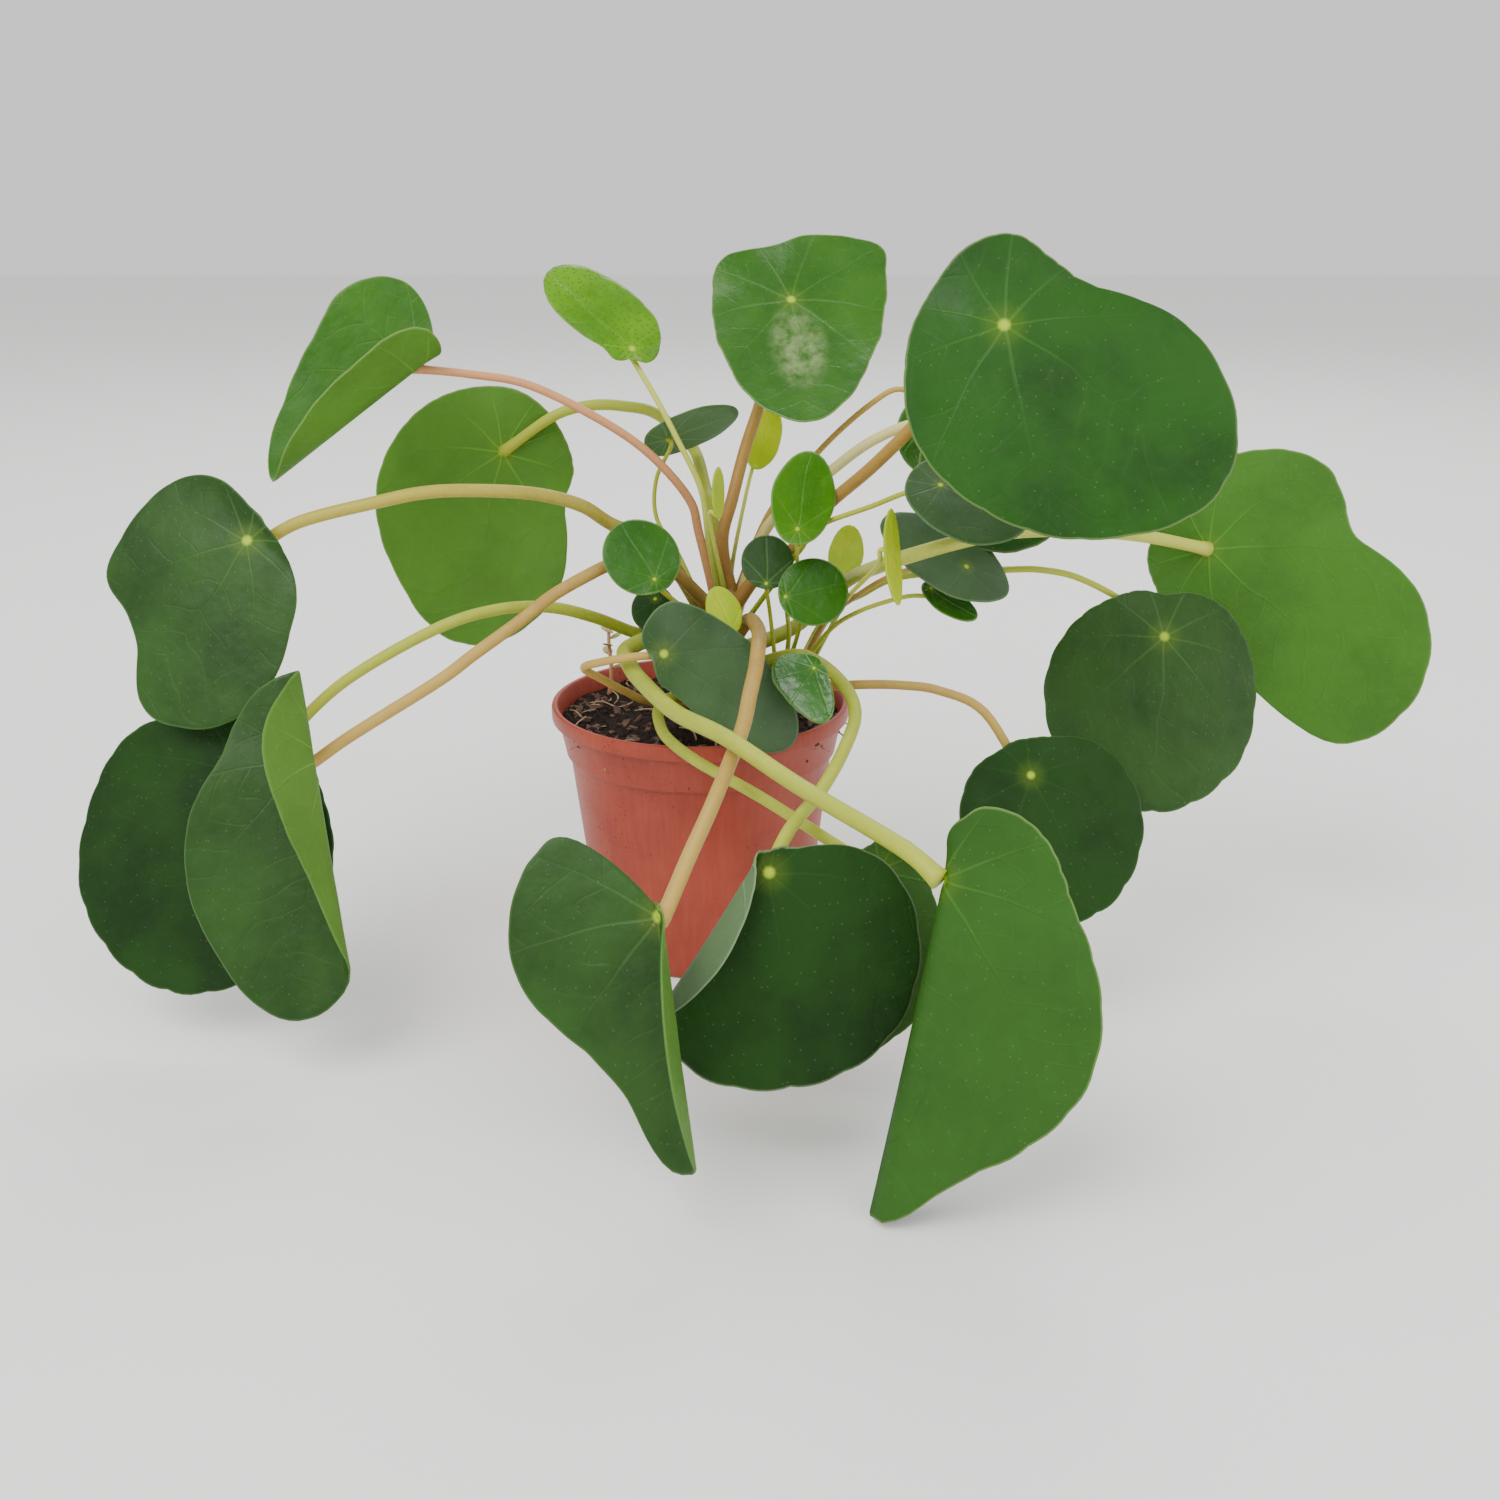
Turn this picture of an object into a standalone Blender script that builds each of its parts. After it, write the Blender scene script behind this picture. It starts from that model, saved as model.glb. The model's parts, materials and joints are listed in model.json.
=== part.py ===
"""Potted Chinese money plant (Pilea peperomioides) in a terracotta-red nursery pot.

Every blade, petiole, stem, the soil and the pot is one closed solid in one frame: metres, +Z up,
the middle of the pot's base at the origin, the side the plant is looked at from along -Y.
The tables below are in millimetres.
"""
import math
from typing import NamedTuple

import bmesh
import bpy
import numpy as np

MM = 0.001

# ---- pot, soil and stems (mm) ---------------------------------------------------------------
RIM_RADIUS = 60.0
RIM_HEIGHT = 105.0
LIP_DEPTH = 6.0
STEP_HEIGHT = 85.5
FOOT_RADIUS = 43.0
FOOT_RING = 4.5
WALL = 1.4
FLOOR_TOP = 4.2
PAD_RADIUS = 14.0
DRAIN_RING_RADIUS = 26.0
DRAIN_RADIUS = 4.0
DRAIN_COUNT = 6
SOIL_LEVEL = 97.0
SOIL_GAP = 0.4
JOINT_GAP = 0.6
BLADE_GAP = 1.5
TRUNK_AXIS = ((6.0, 2.0, 98.0), (8.0, 2.0, 120.0), (11.0, 2.0, 150.0))
TRUNK_RADII = (6.5, 5.0)
OFFSET_AXIS = ((34.0, -8.0, 97.4), (34.0, -8.0, 105.0), (34.0, -8.0, 113.0))
OFFSET_RADII = (4.4, 4.0)
SEEDLING_FOOT = (-40.0, 31.0, 97.4)
SEEDLING_HEIGHT = 27.5

# ---- how finely the solids are cut ----------------------------------------------------------
POT_SIDES = 36
LARGE_RINGS = (0.14, 0.4, 0.7, 1.0)
SMALL_RINGS = (0.25, 0.65, 1.0)
LARGE_SPOKES = 20
SMALL_SPOKES = 12
LARGE_THICKNESS = 1.0
SMALL_THICKNESS = 0.9
PETIOLE_SIDES = 6


class Bend(NamedTuple):
    """A fold of the blade: heading from the tip, distance out, turn towards the upper side, width."""

    heading: float
    offset: float
    turn: float
    width: float


class Leaf(NamedTuple):
    """A blade with its petiole: where they join, how the blade lies, its outline and its stalk."""

    name: str
    joint: tuple
    tip: tuple
    face: tuple
    reach: tuple
    bends: tuple
    radius: float
    root: tuple
    route: tuple
    lead: float


MAIN, OFFSET, CROWN = "main", "offset", "crown"


def oval(length: float, width: float, inset: float) -> tuple:
    """Return twelve reaches of an oval blade whose petiole joins `inset` of the way down it."""
    half, side = length / 2, width / 2
    middle = half - inset * length
    reaches = []
    for step in range(12):
        c, s = math.cos(step * math.tau / 12), math.sin(step * math.tau / 12)
        a = (c / half) ** 2 + (s / side) ** 2
        b = -2 * middle * c / half ** 2
        d = (middle / half) ** 2 - 1
        reaches.append((-b + math.sqrt(b * b - 4 * a * d)) / (2 * a))
    return tuple(reaches)


# Large leaves: reach holds distances from petiole to margin, evenly spaced from the tip round.
LARGE_LEAVES = (
    Leaf("upper_left", (-111, 20, 233), (-0.77, -0.26, -0.58), (-0.46, -0.39, 0.8),
         (70, 50, 36, 30, 25, 14, 10, 17, 38, 44, 43, 52), (Bend(90, 0, 66, 14), Bend(-90, 0, 54, 14)), 1.7,
         (MAIN, 170, 143), ((0, 8, 170), (-4, 10, 184), (-19, 12, 201), (-38, 14, 214), (-66, 18, 227),
          (-89, 19, 231)), 4),
    Leaf("back_left", (-86, 70, 193), (-0.2, -0.42, -0.89), (-0.1, 0.98, -0.19),
         (84, 69, 56, 43, 34, 29, 27, 26, 27, 31, 36, 67), (), 2.4,
         (MAIN, 110, 136), ((5, 18, 174), (2, 32, 184), (-4, 52, 198), (-19, 62, 210), (-33, 65, 213),
          (-48, 67, 213), (-64, 69, 208)), 8),
    Leaf("left", (-163, -40, 178), (-0.56, -0.42, -0.71), (-0.1, -0.9, 0.43),
         (72, 72, 66, 53, 38, 29, 20.5, 14, 11, 9.5, 9, 9, 10, 11, 13, 18, 26, 34, 40.5, 45.5, 51, 57.5,
          54, 57), (), 2.5,
         (MAIN, 182, 133), ((-15, -6, 168), (-33, -10, 178), (-44, -14, 186), (-60, -18, 191), (-80, -22, 193),
          (-99, -25, 193), (-117, -28, 190), (-146, -30, 183)), 8),
    Leaf("low_left", (-166, -62, 95), (-0.34, -0.41, -0.85), (-0.1, -0.9, 0.43),
         (84, 70, 50, 32, 26, 22, 25, 26, 30, 48, 64, 80), (), 2.2,
         (MAIN, 190, 119), ((-15, -8, 132), (-26, -12, 136), (-40, -20, 144), (-56, -28, 150), (-75, -36, 151),
          (-97, -42, 145), (-130, -48, 127), (-152, -50, 107)), 8),
    Leaf("low_left_folded", (-136, -85, 109), (0.03, -0.39, -0.92), (0.05, -0.9, 0.43),
         (90, 50, 38, 33, 31, 30, 32, 31, 29, 31, 48, 70), (Bend(99, -2, 116, 11),), 2.3,
         (MAIN, 223, 140), ((-8, -16, 160), (-19, -26, 168), (-30, -32, 168), (-41, -38, 164), (-53, -44, 158),
          (-63, -50, 151), (-80, -58, 140), (-92, -64, 132), (-123, -72, 114)), 8),
    Leaf("top", (36, 30, 258), (0.11, -0.66, -0.74), (0.02, -0.72, 0.69),
         (62, 55, 46, 40, 38, 36.5, 38, 40.5, 45.5, 39.5, 33, 29, 26, 26.5, 29.5, 33, 33, 31, 31, 32,
          35.5, 40, 48.5, 57), (), 2.4,
         (CROWN, 0, 152.5), ((9, 6, 168), (13, 10, 184), (18, 18, 202), (24, 26, 219), (30, 36, 239)), 8),
    Leaf("top_right", (97, -110, 259), (0.8, -0.34, -0.5), (-0.05, -0.9, 0.43),
         (82, 61, 32, 26, 29, 27, 25, 27, 33, 45, 57, 71), (), 2.3,
         (MAIN, 330, 143), ((24, -6, 158), (39, -16, 172), (48, -28, 188), (63, -44, 205), (76, -64, 223),
          (88, -85, 242)), 8),
    Leaf("right", (202, 10, 164), (0.74, -0.32, -0.59), (0.1, 0.98, -0.19),
         (101, 94, 59, 43, 35, 30, 27, 25, 24, 23, 22, 23, 24, 26, 29, 32, 37, 43, 50, 55, 55, 57,
          80, 95), (), 2.6,
         (MAIN, 355, 124), ((36, 2, 133), (48, 0, 144), (58, -20, 159), (68, -56, 173), (75, -66, 178),
          (96, -62, 183), (116, -52, 184), (141, -46, 183), (173, -10, 173)), 8),
    Leaf("right_round", (177, -30, 139), (-0.1, -0.43, -0.9), (0, -0.88, 0.47),
         (67, 57, 42, 32, 26, 21, 17, 20, 25, 36, 50, 62), (), 1.3,
         (OFFSET, 25, 112), ((51, -10, 142), (64, -14, 152), (76, -18, 159), (96, -21, 162), (116, -22, 163),
          (130, -22, 163), (146, -20, 159), (166, -20, 148)), 8),
    Leaf("low_right", (122, -70, 98), (0.42, -0.5, -0.76), (0.05, -0.86, 0.52),
         (55, 48, 39, 29, 18, 14, 14, 15, 21, 29, 41, 52), (), 1.8,
         (MAIN, 318, 105), ((34, -20, 114), (47, -24, 117), (62, -30, 120), (77, -37, 122), (91, -44, 122),
          (107, -52, 116)), 8),
    Leaf("front_right", (76, -178, 106), (-0.22, -0.37, -0.89), (0.24, 0.94, -0.24),
         (108, 96, 86, 75, 62, 51, 40, 31, 22, 15, 11, 11, 12, 24, 28.5, 31.5, 34, 36, 40, 50, 63, 75,
          83, 91), (Bend(90, -4, 140, 7),), 3.0,
         (MAIN, 238, 119), ((-12, -28, 140), (-19, -38, 140), (-26, -46, 138), (-24, -54, 135), (-19, -62, 131),
          (-6, -82, 126), (12, -103, 124), (36, -125, 115), (65, -167, 112)), 8),
    Leaf("front_dark", (26, -153, 97), (0.1, -0.36, -0.93), (0, -0.93, 0.37),
         (68, 64, 52, 36, 14, 9, 7, 8, 10, 20, 46, 66), (Bend(-126, 2.5, 122, 6),), 2.4,
         (MAIN, 322, 116), ((35, -28, 131), (46, -38, 131), (55, -52, 126), (58, -66, 120), (53, -86, 114),
          (44, -108, 107), (33, -132, 103)), 8),
    Leaf("front_left", (-7, -178, 94), (0.1, -0.34, -0.94), (-0.1, -0.9, 0.43),
         (76, 62, 44, 24, 14, 9, 7, 5, 4, 4, 4, 4, 4, 4.5, 8, 37, 42.5, 44.5, 46, 47, 46.5, 45.5, 47,
          55), (Bend(92, -2, 90, 5),), 2.7,
         (MAIN, 305, 126), ((19, -22, 143), (23, -42, 145), (23, -66, 146), (22, -78, 141), (20, -85, 134),
          (17, -94, 123), (8, -118, 107), (1, -146, 100)), 8),
    Leaf("front_hidden", (64, -113, 80), (-0.2, -0.42, -0.89), (0, 0.97, -0.24),
         (66, 58, 34, 18, 10, 9, 12, 14, 15, 17, 28, 50), (), 2.1,
         (MAIN, 250, 108), ((-10, -34, 116), (-14, -48, 116), (-13, -56, 112), (-9, -64, 109), (2, -76, 105),
          (23, -98, 101), (48, -121, 93)), 8),
)

# Small leaves: each blade is joined with its own thin petiole into one solid.
SMALL_LEAVES = (
    Leaf("over_pot", (-11, -60, 141), (0.8, -0.11, -0.6), (0.12, -0.93, 0.34),
         (57, 39, 26, 21, 19, 14, 10, 6, 5, 6, 11, 20), (), 1.6,
         (MAIN, 225, 103), ((-17, -28, 112), (-27, -36, 119), (-36, -44, 127), (-41, -51, 133), (-34, -57, 137),
          (-23, -61, 140)), 4),
    Leaf("glossy_low", (43, -62, 136), (0.2, -0.73, -0.65), (0, -0.66, 0.75),
         (22, 8.5, 5.5, 4.5, 4.2, 5.2, 6, 8, 14, 15.5, 15, 18), (), 0.9,
         (OFFSET, 285, 115), ((39, -24, 123), (43, -50, 127)), 4),
    Leaf("dark_inner", (-17, -8, 148), (-0.2, -0.42, -0.89), (0, -0.8, 0.59), oval(19, 17, 0.3), (), 0.9,
         (MAIN, 205, 127), ((-9, -6, 145),), 4),
    Leaf("round_left", (-15, -42, 164), (-0.45, 0.3, 0.84), (0.1, -0.83, 0.55), oval(31, 28, 0.17), (), 1.0,
         (MAIN, 235, 132), ((-9, -32, 154),), 4),
    Leaf("dark_round", (26, -36, 161), (0.05, 0.34, 0.94), (0, -0.86, 0.52), oval(21.5, 19.5, 0.1), (), 0.8,
         (OFFSET, 178, 109), ((28, -22, 143),), 4),
    Leaf("round_right", (33, -44, 158), (0.98, 0.07, 0.19), (0, -0.86, 0.52), oval(26, 26, 0.1), (), 0.9,
         (OFFSET, 240, 114), ((35, -16, 134), (34, -32, 148)), 4),
    Leaf("ovate", (37, -44, 183), (0.2, 0.33, 0.92), (0.1, -0.85, 0.51), oval(36, 23, 0.17), (), 0.8,
         (OFFSET, 120, 115), ((40, -9, 140), (38, -26, 164)), 4),
    Leaf("yellow_oval", (57, 8, 153), (0.12, 0.34, 0.93), (-0.19, -0.84, 0.51), oval(23, 14, 0.06), (), 0.8,
         (OFFSET, 75, 112), ((46, 6, 131), (54, 10, 143)), 4),
    Leaf("yellow_crown", (13, -36, 143), (-0.32, 0.32, 0.89), (0.1, -0.85, 0.51), oval(20, 13, 0.08), (), 0.9,
         (MAIN, 262, 137), (), 4),
    Leaf("bright_high", (-26, 24, 240), (-0.64, 0.16, 0.75), (0.2, -0.74, 0.64),
         (48, 38, 23.5, 13, 10, 8.5, 7, 5.5, 5, 5.5, 6, 7, 8, 8.5, 9.5, 10.5, 11.5, 13, 15, 18, 22, 28, 36.5, 46), (), 1.2,
         (MAIN, 195, 149), ((4, -3, 170), (1, 3, 189), (-8, 9, 207), (-17, 16, 223)), 4),
    Leaf("edge_on_back", (-13, 28, 205), (0.93, 0.02, 0.36), (-0.35, 0.58, 0.74), oval(40, 32, 0.24), (), 0.9,
         (MAIN, 150, 130), ((-8, 22, 157), (-18, 30, 172), (-18, 30, 188)), 4),
    Leaf("yellow_back", (22, 34, 193), (0.35, 0.32, 0.88), (0.28, -0.82, 0.5), oval(28, 14, 0.05), (), 0.8,
         (MAIN, 60, 147), ((13, 12, 158), (18, 26, 181)), 4),
    Leaf("sliver_crown", (8, -11, 181), (-0.15, 0.33, 0.93), (0.87, -0.46, 0.16), oval(20, 9, 0.05), (), 0.8,
         (MAIN, 258, 149), (), 4),
    Leaf("grey_right", (85, -68, 203), (0.84, -0.36, -0.4), (0, -0.59, 0.8), oval(45, 37, 0.26), (), 1.0,
         (MAIN, 338, 129), ((30, -18, 158), (39, -27, 172), (45, -34, 182), (63, -48, 192), (76, -62, 200)), 4),
    Leaf("behind_right_small", (91, 2, 220), (0.1, -0.43, -0.9), (0, -0.86, 0.52), oval(35, 33, 0.2), (), 1.2,
         (MAIN, 48, 142), ((27, 16, 176), (47, 14, 202), (66, 6, 221), (78, 4, 227)), 4),
    Leaf("behind_right_large", (107, -20, 215), (0.29, -0.41, -0.86), (0, -0.86, 0.52), oval(63, 59, 0.25), (),
         2.1, (MAIN, 25, 134), ((24, 3, 169), (35, -2, 184), (50, -6, 197), (66, -12, 210), (84, -16, 217)), 4),
    Leaf("dark_right", (98, -48, 170), (-0.82, 0.09, 0.56), (0.3, -0.62, 0.73), oval(53, 32, 0.34), (), 1.0,
         (OFFSET, 345, 114), ((49, -13, 140), (58, -22, 151), (72, -36, 164), (86, -42, 169)), 4),
    Leaf("narrow_right", (68, -78, 183), (0.2, -0.33, -0.92), (0.9, -0.4, 0.17), oval(33, 16, 0.42), (), 0.9,
         (OFFSET, 15, 107), ((53, -26, 146), (57, -40, 158), (64, -72, 176)), 4),
    Leaf("folded_right", (86, -44, 161), (0.75, -0.32, -0.58), (0.21, -0.6, 0.77), oval(24, 13, 0.15), (), 0.9,
         (OFFSET, 318, 114), ((49, -26, 139), (61, -34, 150), (77, -40, 157)), 4),
)


def clear_scene() -> None:
    """Remove every object that is already in the file."""
    for thing in list(bpy.data.objects):
        bpy.data.objects.remove(thing, do_unlink=True)


def unit(vector) -> np.ndarray:
    """Return the vector at length one."""
    vector = np.asarray(vector, float)
    return vector / np.linalg.norm(vector)


def solid(name: str, bm: bmesh.types.BMesh) -> bpy.types.Object:
    """Turn a mesh in millimetres into a named object in metres with faces pointing out."""
    bmesh.ops.scale(bm, vec=(MM, MM, MM), verts=bm.verts)
    bmesh.ops.recalc_face_normals(bm, faces=bm.faces)
    if bm.calc_volume(signed=True) < 0:
        bmesh.ops.reverse_faces(bm, faces=bm.faces)
    mesh = bpy.data.meshes.new(name)
    bm.to_mesh(mesh)
    bm.free()
    obj = bpy.data.objects.new(name, mesh)
    bpy.context.scene.collection.objects.link(obj)
    return obj


def combine(target: bpy.types.Object, tool: bpy.types.Object, operation: str) -> None:
    """Apply an exact boolean to `target` and remove the tool."""
    modifier = target.modifiers.new("combine", "BOOLEAN")
    modifier.operation = operation
    modifier.solver = "EXACT"
    modifier.object = tool
    evaluated = target.evaluated_get(bpy.context.evaluated_depsgraph_get())
    mesh = bpy.data.meshes.new_from_object(evaluated)
    target.modifiers.remove(modifier)
    target.data = mesh
    bpy.data.objects.remove(tool, do_unlink=True)


def reach_at(leaf: Leaf, angle: np.ndarray) -> np.ndarray:
    """Return the distance to the margin along each heading, smoothly between the twelve reaches."""
    table = np.asarray(leaf.reach, float)
    count = len(table)
    place = (np.asarray(angle) / math.tau * count) % count
    base = np.floor(place).astype(int)
    t = place - base
    before, here = table[(base - 1) % count], table[base % count]
    after, later = table[(base + 1) % count], table[(base + 2) % count]
    slope = after - before
    square = 2 * before - 5 * here + 4 * after - later
    cube = 3 * here - before - 3 * after + later
    return 0.5 * (2 * here + slope * t + square * t ** 2 + cube * t ** 3)


def bent(points: np.ndarray, bend: Bend) -> np.ndarray:
    """Roll the part of the blade beyond a straight crease round an arc, without stretching it."""
    heading = math.radians(bend.heading)
    along = np.array([math.cos(heading), math.sin(heading)])
    across = np.array([-along[1], along[0]])
    out = points[..., :2] @ along - bend.offset
    side = points[..., :2] @ across
    height = points[..., 2]
    turn = math.radians(bend.turn)
    radius = bend.width / turn
    angle = np.clip(out, 0, bend.width) / bend.width * turn
    tail = np.maximum(out - bend.width, 0)
    flat = np.where(out < 0, out, radius * np.sin(angle) + tail * np.cos(angle)) - height * np.sin(angle)
    lift = np.where(out < 0, 0, radius * (1 - np.cos(angle)) + tail * np.sin(angle)) + height * np.cos(angle)
    plane = (flat + bend.offset)[..., None] * along + side[..., None] * across
    return np.concatenate([plane, lift[..., None]], axis=-1)


def blade_points(leaf: Leaf, share: np.ndarray, angle: np.ndarray) -> np.ndarray:
    """Return points of the blade's middle surface at a share of the way out along each heading."""
    distance = share * reach_at(leaf, angle)
    points = np.stack([distance * np.cos(angle), distance * np.sin(angle), 0 * distance], axis=-1)
    for bend in leaf.bends:
        points = bent(points, bend)
    normal = unit(leaf.face)
    tip = unit(np.asarray(leaf.tip) - normal * np.dot(leaf.tip, normal))
    side = np.cross(normal, tip)
    return np.asarray(leaf.joint) + points @ np.stack([tip, side, normal])


def blade_normals(leaf: Leaf, share: np.ndarray, angle: np.ndarray) -> np.ndarray:
    """Return the upper side's direction at each point of the blade."""
    step = 0.02
    outward = blade_points(leaf, share + step, angle) - blade_points(leaf, share - step, angle)
    around = blade_points(leaf, share, angle + step) - blade_points(leaf, share, angle - step)
    normal = np.cross(outward, around)
    return normal / np.linalg.norm(normal, axis=-1, keepdims=True)


def blade_mesh(leaf: Leaf, rings: tuple, spokes: int, thickness: float) -> bmesh.types.BMesh:
    """Build a closed blade: an upper skin, an under skin and the strip round the margin."""
    bm = bmesh.new()
    headings = np.arange(spokes) * math.tau / spokes
    skins = []
    for sign in (0.5, -0.5):
        middle = np.asarray(leaf.joint) + unit(leaf.face) * thickness * sign
        hub = bm.verts.new(middle)
        loops = []
        for ring in rings:
            share = np.full(spokes, ring)
            places = blade_points(leaf, share, headings)
            places = places + blade_normals(leaf, share, headings) * thickness * sign
            loops.append([bm.verts.new(place) for place in places])
        for k in range(spokes):
            after = (k + 1) % spokes
            bm.faces.new((hub, loops[0][k], loops[0][after]))
            for inner, outer in zip(loops, loops[1:]):
                bm.faces.new((inner[k], outer[k], outer[after]))
                bm.faces.new((inner[k], outer[after], inner[after]))
        skins.append(loops[-1])
    upper, under = skins
    for k in range(spokes):
        after = (k + 1) % spokes
        bm.faces.new((upper[k], under[k], under[after]))
        bm.faces.new((upper[k], under[after], upper[after]))
    return bm


def smooth_route(points, steps: int) -> np.ndarray:
    """Return a Catmull-Rom curve through the points."""
    points = np.asarray(points, float)
    padded = np.vstack([2 * points[0] - points[1], points, 2 * points[-1] - points[-2]])
    curve = []
    for a, b, c, d in zip(padded, padded[1:], padded[2:], padded[3:]):
        for t in np.arange(steps) / steps:
            curve.append(0.5 * (2 * b + (c - a) * t + (2 * a - 5 * b + 4 * c - d) * t ** 2
                                + (3 * b - a - 3 * c + d) * t ** 3))
    curve.append(points[-1])
    return np.array(curve)


def tube_mesh(route: np.ndarray, radii: np.ndarray, sides: int, end=None) -> bmesh.types.BMesh:
    """Build a closed tube along a route, without twist, its last ring square to `end` if given."""
    bm = bmesh.new()
    tangents = np.gradient(route, axis=0)
    if end is not None:
        tangents[-1] = end
    normal = np.cross(unit(tangents[0]), (0.3, 0.2, 0.9))
    loops = []
    for place, tangent, radius in zip(route, tangents, radii):
        along = unit(tangent)
        normal = unit(normal - along * np.dot(normal, along))
        side = np.cross(along, normal)
        angles = np.arange(sides) * math.tau / sides
        loops.append([bm.verts.new(place + radius * (math.cos(a) * normal + math.sin(a) * side)) for a in angles])
    for near, far in zip(loops, loops[1:]):
        for k in range(sides):
            bm.faces.new((near[k], near[(k + 1) % sides], far[(k + 1) % sides], far[k]))
    bm.faces.new(loops[0][::-1])
    bm.faces.new(loops[-1])
    return bm


def root_point(leaf: Leaf) -> np.ndarray:
    """Return where the stalk starts: beside its stem at a compass angle and height, or over the crown."""
    stem, compass, height = leaf.root
    if stem == CROWN:
        return np.array([12.0, 4.0, height])
    axis, radii = (TRUNK_AXIS, TRUNK_RADII) if stem == MAIN else (OFFSET_AXIS, OFFSET_RADII)
    heights = [point[2] for point in axis]
    centre = [np.interp(height, heights, [point[k] for point in axis]) for k in range(2)]
    radius = np.interp(height, (heights[0], heights[-1]), radii)
    away = radius + JOINT_GAP + leaf.radius * 0.8
    angle = math.radians(compass)
    return np.array([centre[0] + away * math.cos(angle), centre[1] + away * math.sin(angle), height])


def petiole_route(leaf: Leaf, end_gap: float) -> np.ndarray:
    """Return the stalk's curve, from beside its stem to square on the blade's underside."""
    normal = unit(leaf.face)
    joint = np.asarray(leaf.joint, float)
    points = [root_point(leaf), *leaf.route, joint - normal * leaf.lead, joint - normal * end_gap]
    return smooth_route(points, 2 if len(points) > 5 else 3)


def make_large_leaf(leaf: Leaf) -> None:
    """Build a large leaf as two solids, its blade and its petiole."""
    solid("blade_" + leaf.name, blade_mesh(leaf, LARGE_RINGS, LARGE_SPOKES, LARGE_THICKNESS))
    route = petiole_route(leaf, BLADE_GAP)
    radii = np.linspace(leaf.radius * 1.1, leaf.radius * 0.9, len(route))
    solid("petiole_" + leaf.name, tube_mesh(route, radii, PETIOLE_SIDES, unit(leaf.face)))


def make_small_leaf(leaf: Leaf) -> None:
    """Build a small leaf as one solid, its blade joined to its thin petiole."""
    blade = solid("leaf_" + leaf.name, blade_mesh(leaf, SMALL_RINGS, SMALL_SPOKES, SMALL_THICKNESS))
    route = petiole_route(leaf, 0.0)
    radii = np.linspace(leaf.radius * 1.05, leaf.radius * 0.9, len(route))
    stalk = solid("stalk_" + leaf.name, tube_mesh(route, radii, PETIOLE_SIDES))
    combine(blade, stalk, "UNION")


def turned(profile, sides: int) -> bmesh.types.BMesh:
    """Turn a profile of (radius, height) points that starts and ends on the axis."""
    bm = bmesh.new()
    loops = []
    for radius, height in profile:
        if radius == 0:
            loops.append([bm.verts.new((0, 0, height))])
            continue
        angles = np.arange(sides) * math.tau / sides
        loops.append([bm.verts.new((radius * math.cos(a), radius * math.sin(a), height)) for a in angles])
    for near, far in zip(loops, loops[1:]):
        for k in range(sides):
            after = (k + 1) % sides
            if len(near) == 1:
                bm.faces.new((near[0], far[k], far[after]))
            elif len(far) == 1:
                bm.faces.new((near[k], near[after], far[0]))
            else:
                bm.faces.new((near[k], near[after], far[after], far[k]))
    return bm


def make_pot() -> None:
    """Build the thin-walled pot with its flared lip, moulded step, foot ring and drain holes."""
    lip_foot = RIM_HEIGHT - LIP_DEPTH
    profile = (
        (0, 0), (PAD_RADIUS, 0), (PAD_RADIUS + 1.5, FLOOR_TOP - 1.6),
        (FOOT_RADIUS - FOOT_RING - 1.5, FLOOR_TOP - 1.6), (FOOT_RADIUS - FOOT_RING, 0), (FOOT_RADIUS, 0),
        (FOOT_RADIUS + 0.8, 1.0), (53.3, STEP_HEIGHT - 0.9), (54.8, STEP_HEIGHT), (57.3, lip_foot - 0.4),
        (RIM_RADIUS - 0.7, lip_foot), (RIM_RADIUS, lip_foot + 1.0), (RIM_RADIUS, RIM_HEIGHT - 1.2),
        (RIM_RADIUS - 1.2, RIM_HEIGHT), (RIM_RADIUS - 2.6, RIM_HEIGHT - 0.4), (55.9, lip_foot - 0.6),
        (53.3, STEP_HEIGHT + 0.3), (51.9, STEP_HEIGHT - 1.2), (FOOT_RADIUS - 0.6, FLOOR_TOP),
        (PAD_RADIUS, FLOOR_TOP), (PAD_RADIUS - 1.5, WALL), (0, WALL),
    )
    pot = solid("pot", turned(profile, POT_SIDES))
    for k in range(DRAIN_COUNT):
        angle = k * math.tau / DRAIN_COUNT
        centre = (DRAIN_RING_RADIUS * math.cos(angle), DRAIN_RING_RADIUS * math.sin(angle))
        bm = bmesh.new()
        bmesh.ops.create_cone(bm, cap_ends=True, segments=10, radius1=DRAIN_RADIUS, radius2=DRAIN_RADIUS, depth=20)
        bmesh.ops.translate(bm, vec=(*centre, 0), verts=bm.verts)
        combine(pot, solid("drain_%d" % k, bm), "DIFFERENCE")


def make_soil() -> None:
    """Build the root ball that fills the pot, a hair clear of its wall."""
    profile = (
        (0, WALL + SOIL_GAP), (PAD_RADIUS - 2.2, WALL + SOIL_GAP), (PAD_RADIUS - 0.7, FLOOR_TOP + SOIL_GAP),
        (FOOT_RADIUS - 1.2, FLOOR_TOP + SOIL_GAP), (51.4, STEP_HEIGHT - 1.2), (52.8, STEP_HEIGHT + 0.5),
        (54.9, SOIL_LEVEL - 1.0), (53.0, SOIL_LEVEL), (0, SOIL_LEVEL),
    )
    solid("soil", turned(profile, POT_SIDES))


def make_stem(name: str, axis: tuple, radii: tuple) -> None:
    """Build a woody stem standing on the soil."""
    route = smooth_route(axis, 3)
    solid(name, tube_mesh(route, np.linspace(radii[0], radii[1], len(route)), 10))


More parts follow.
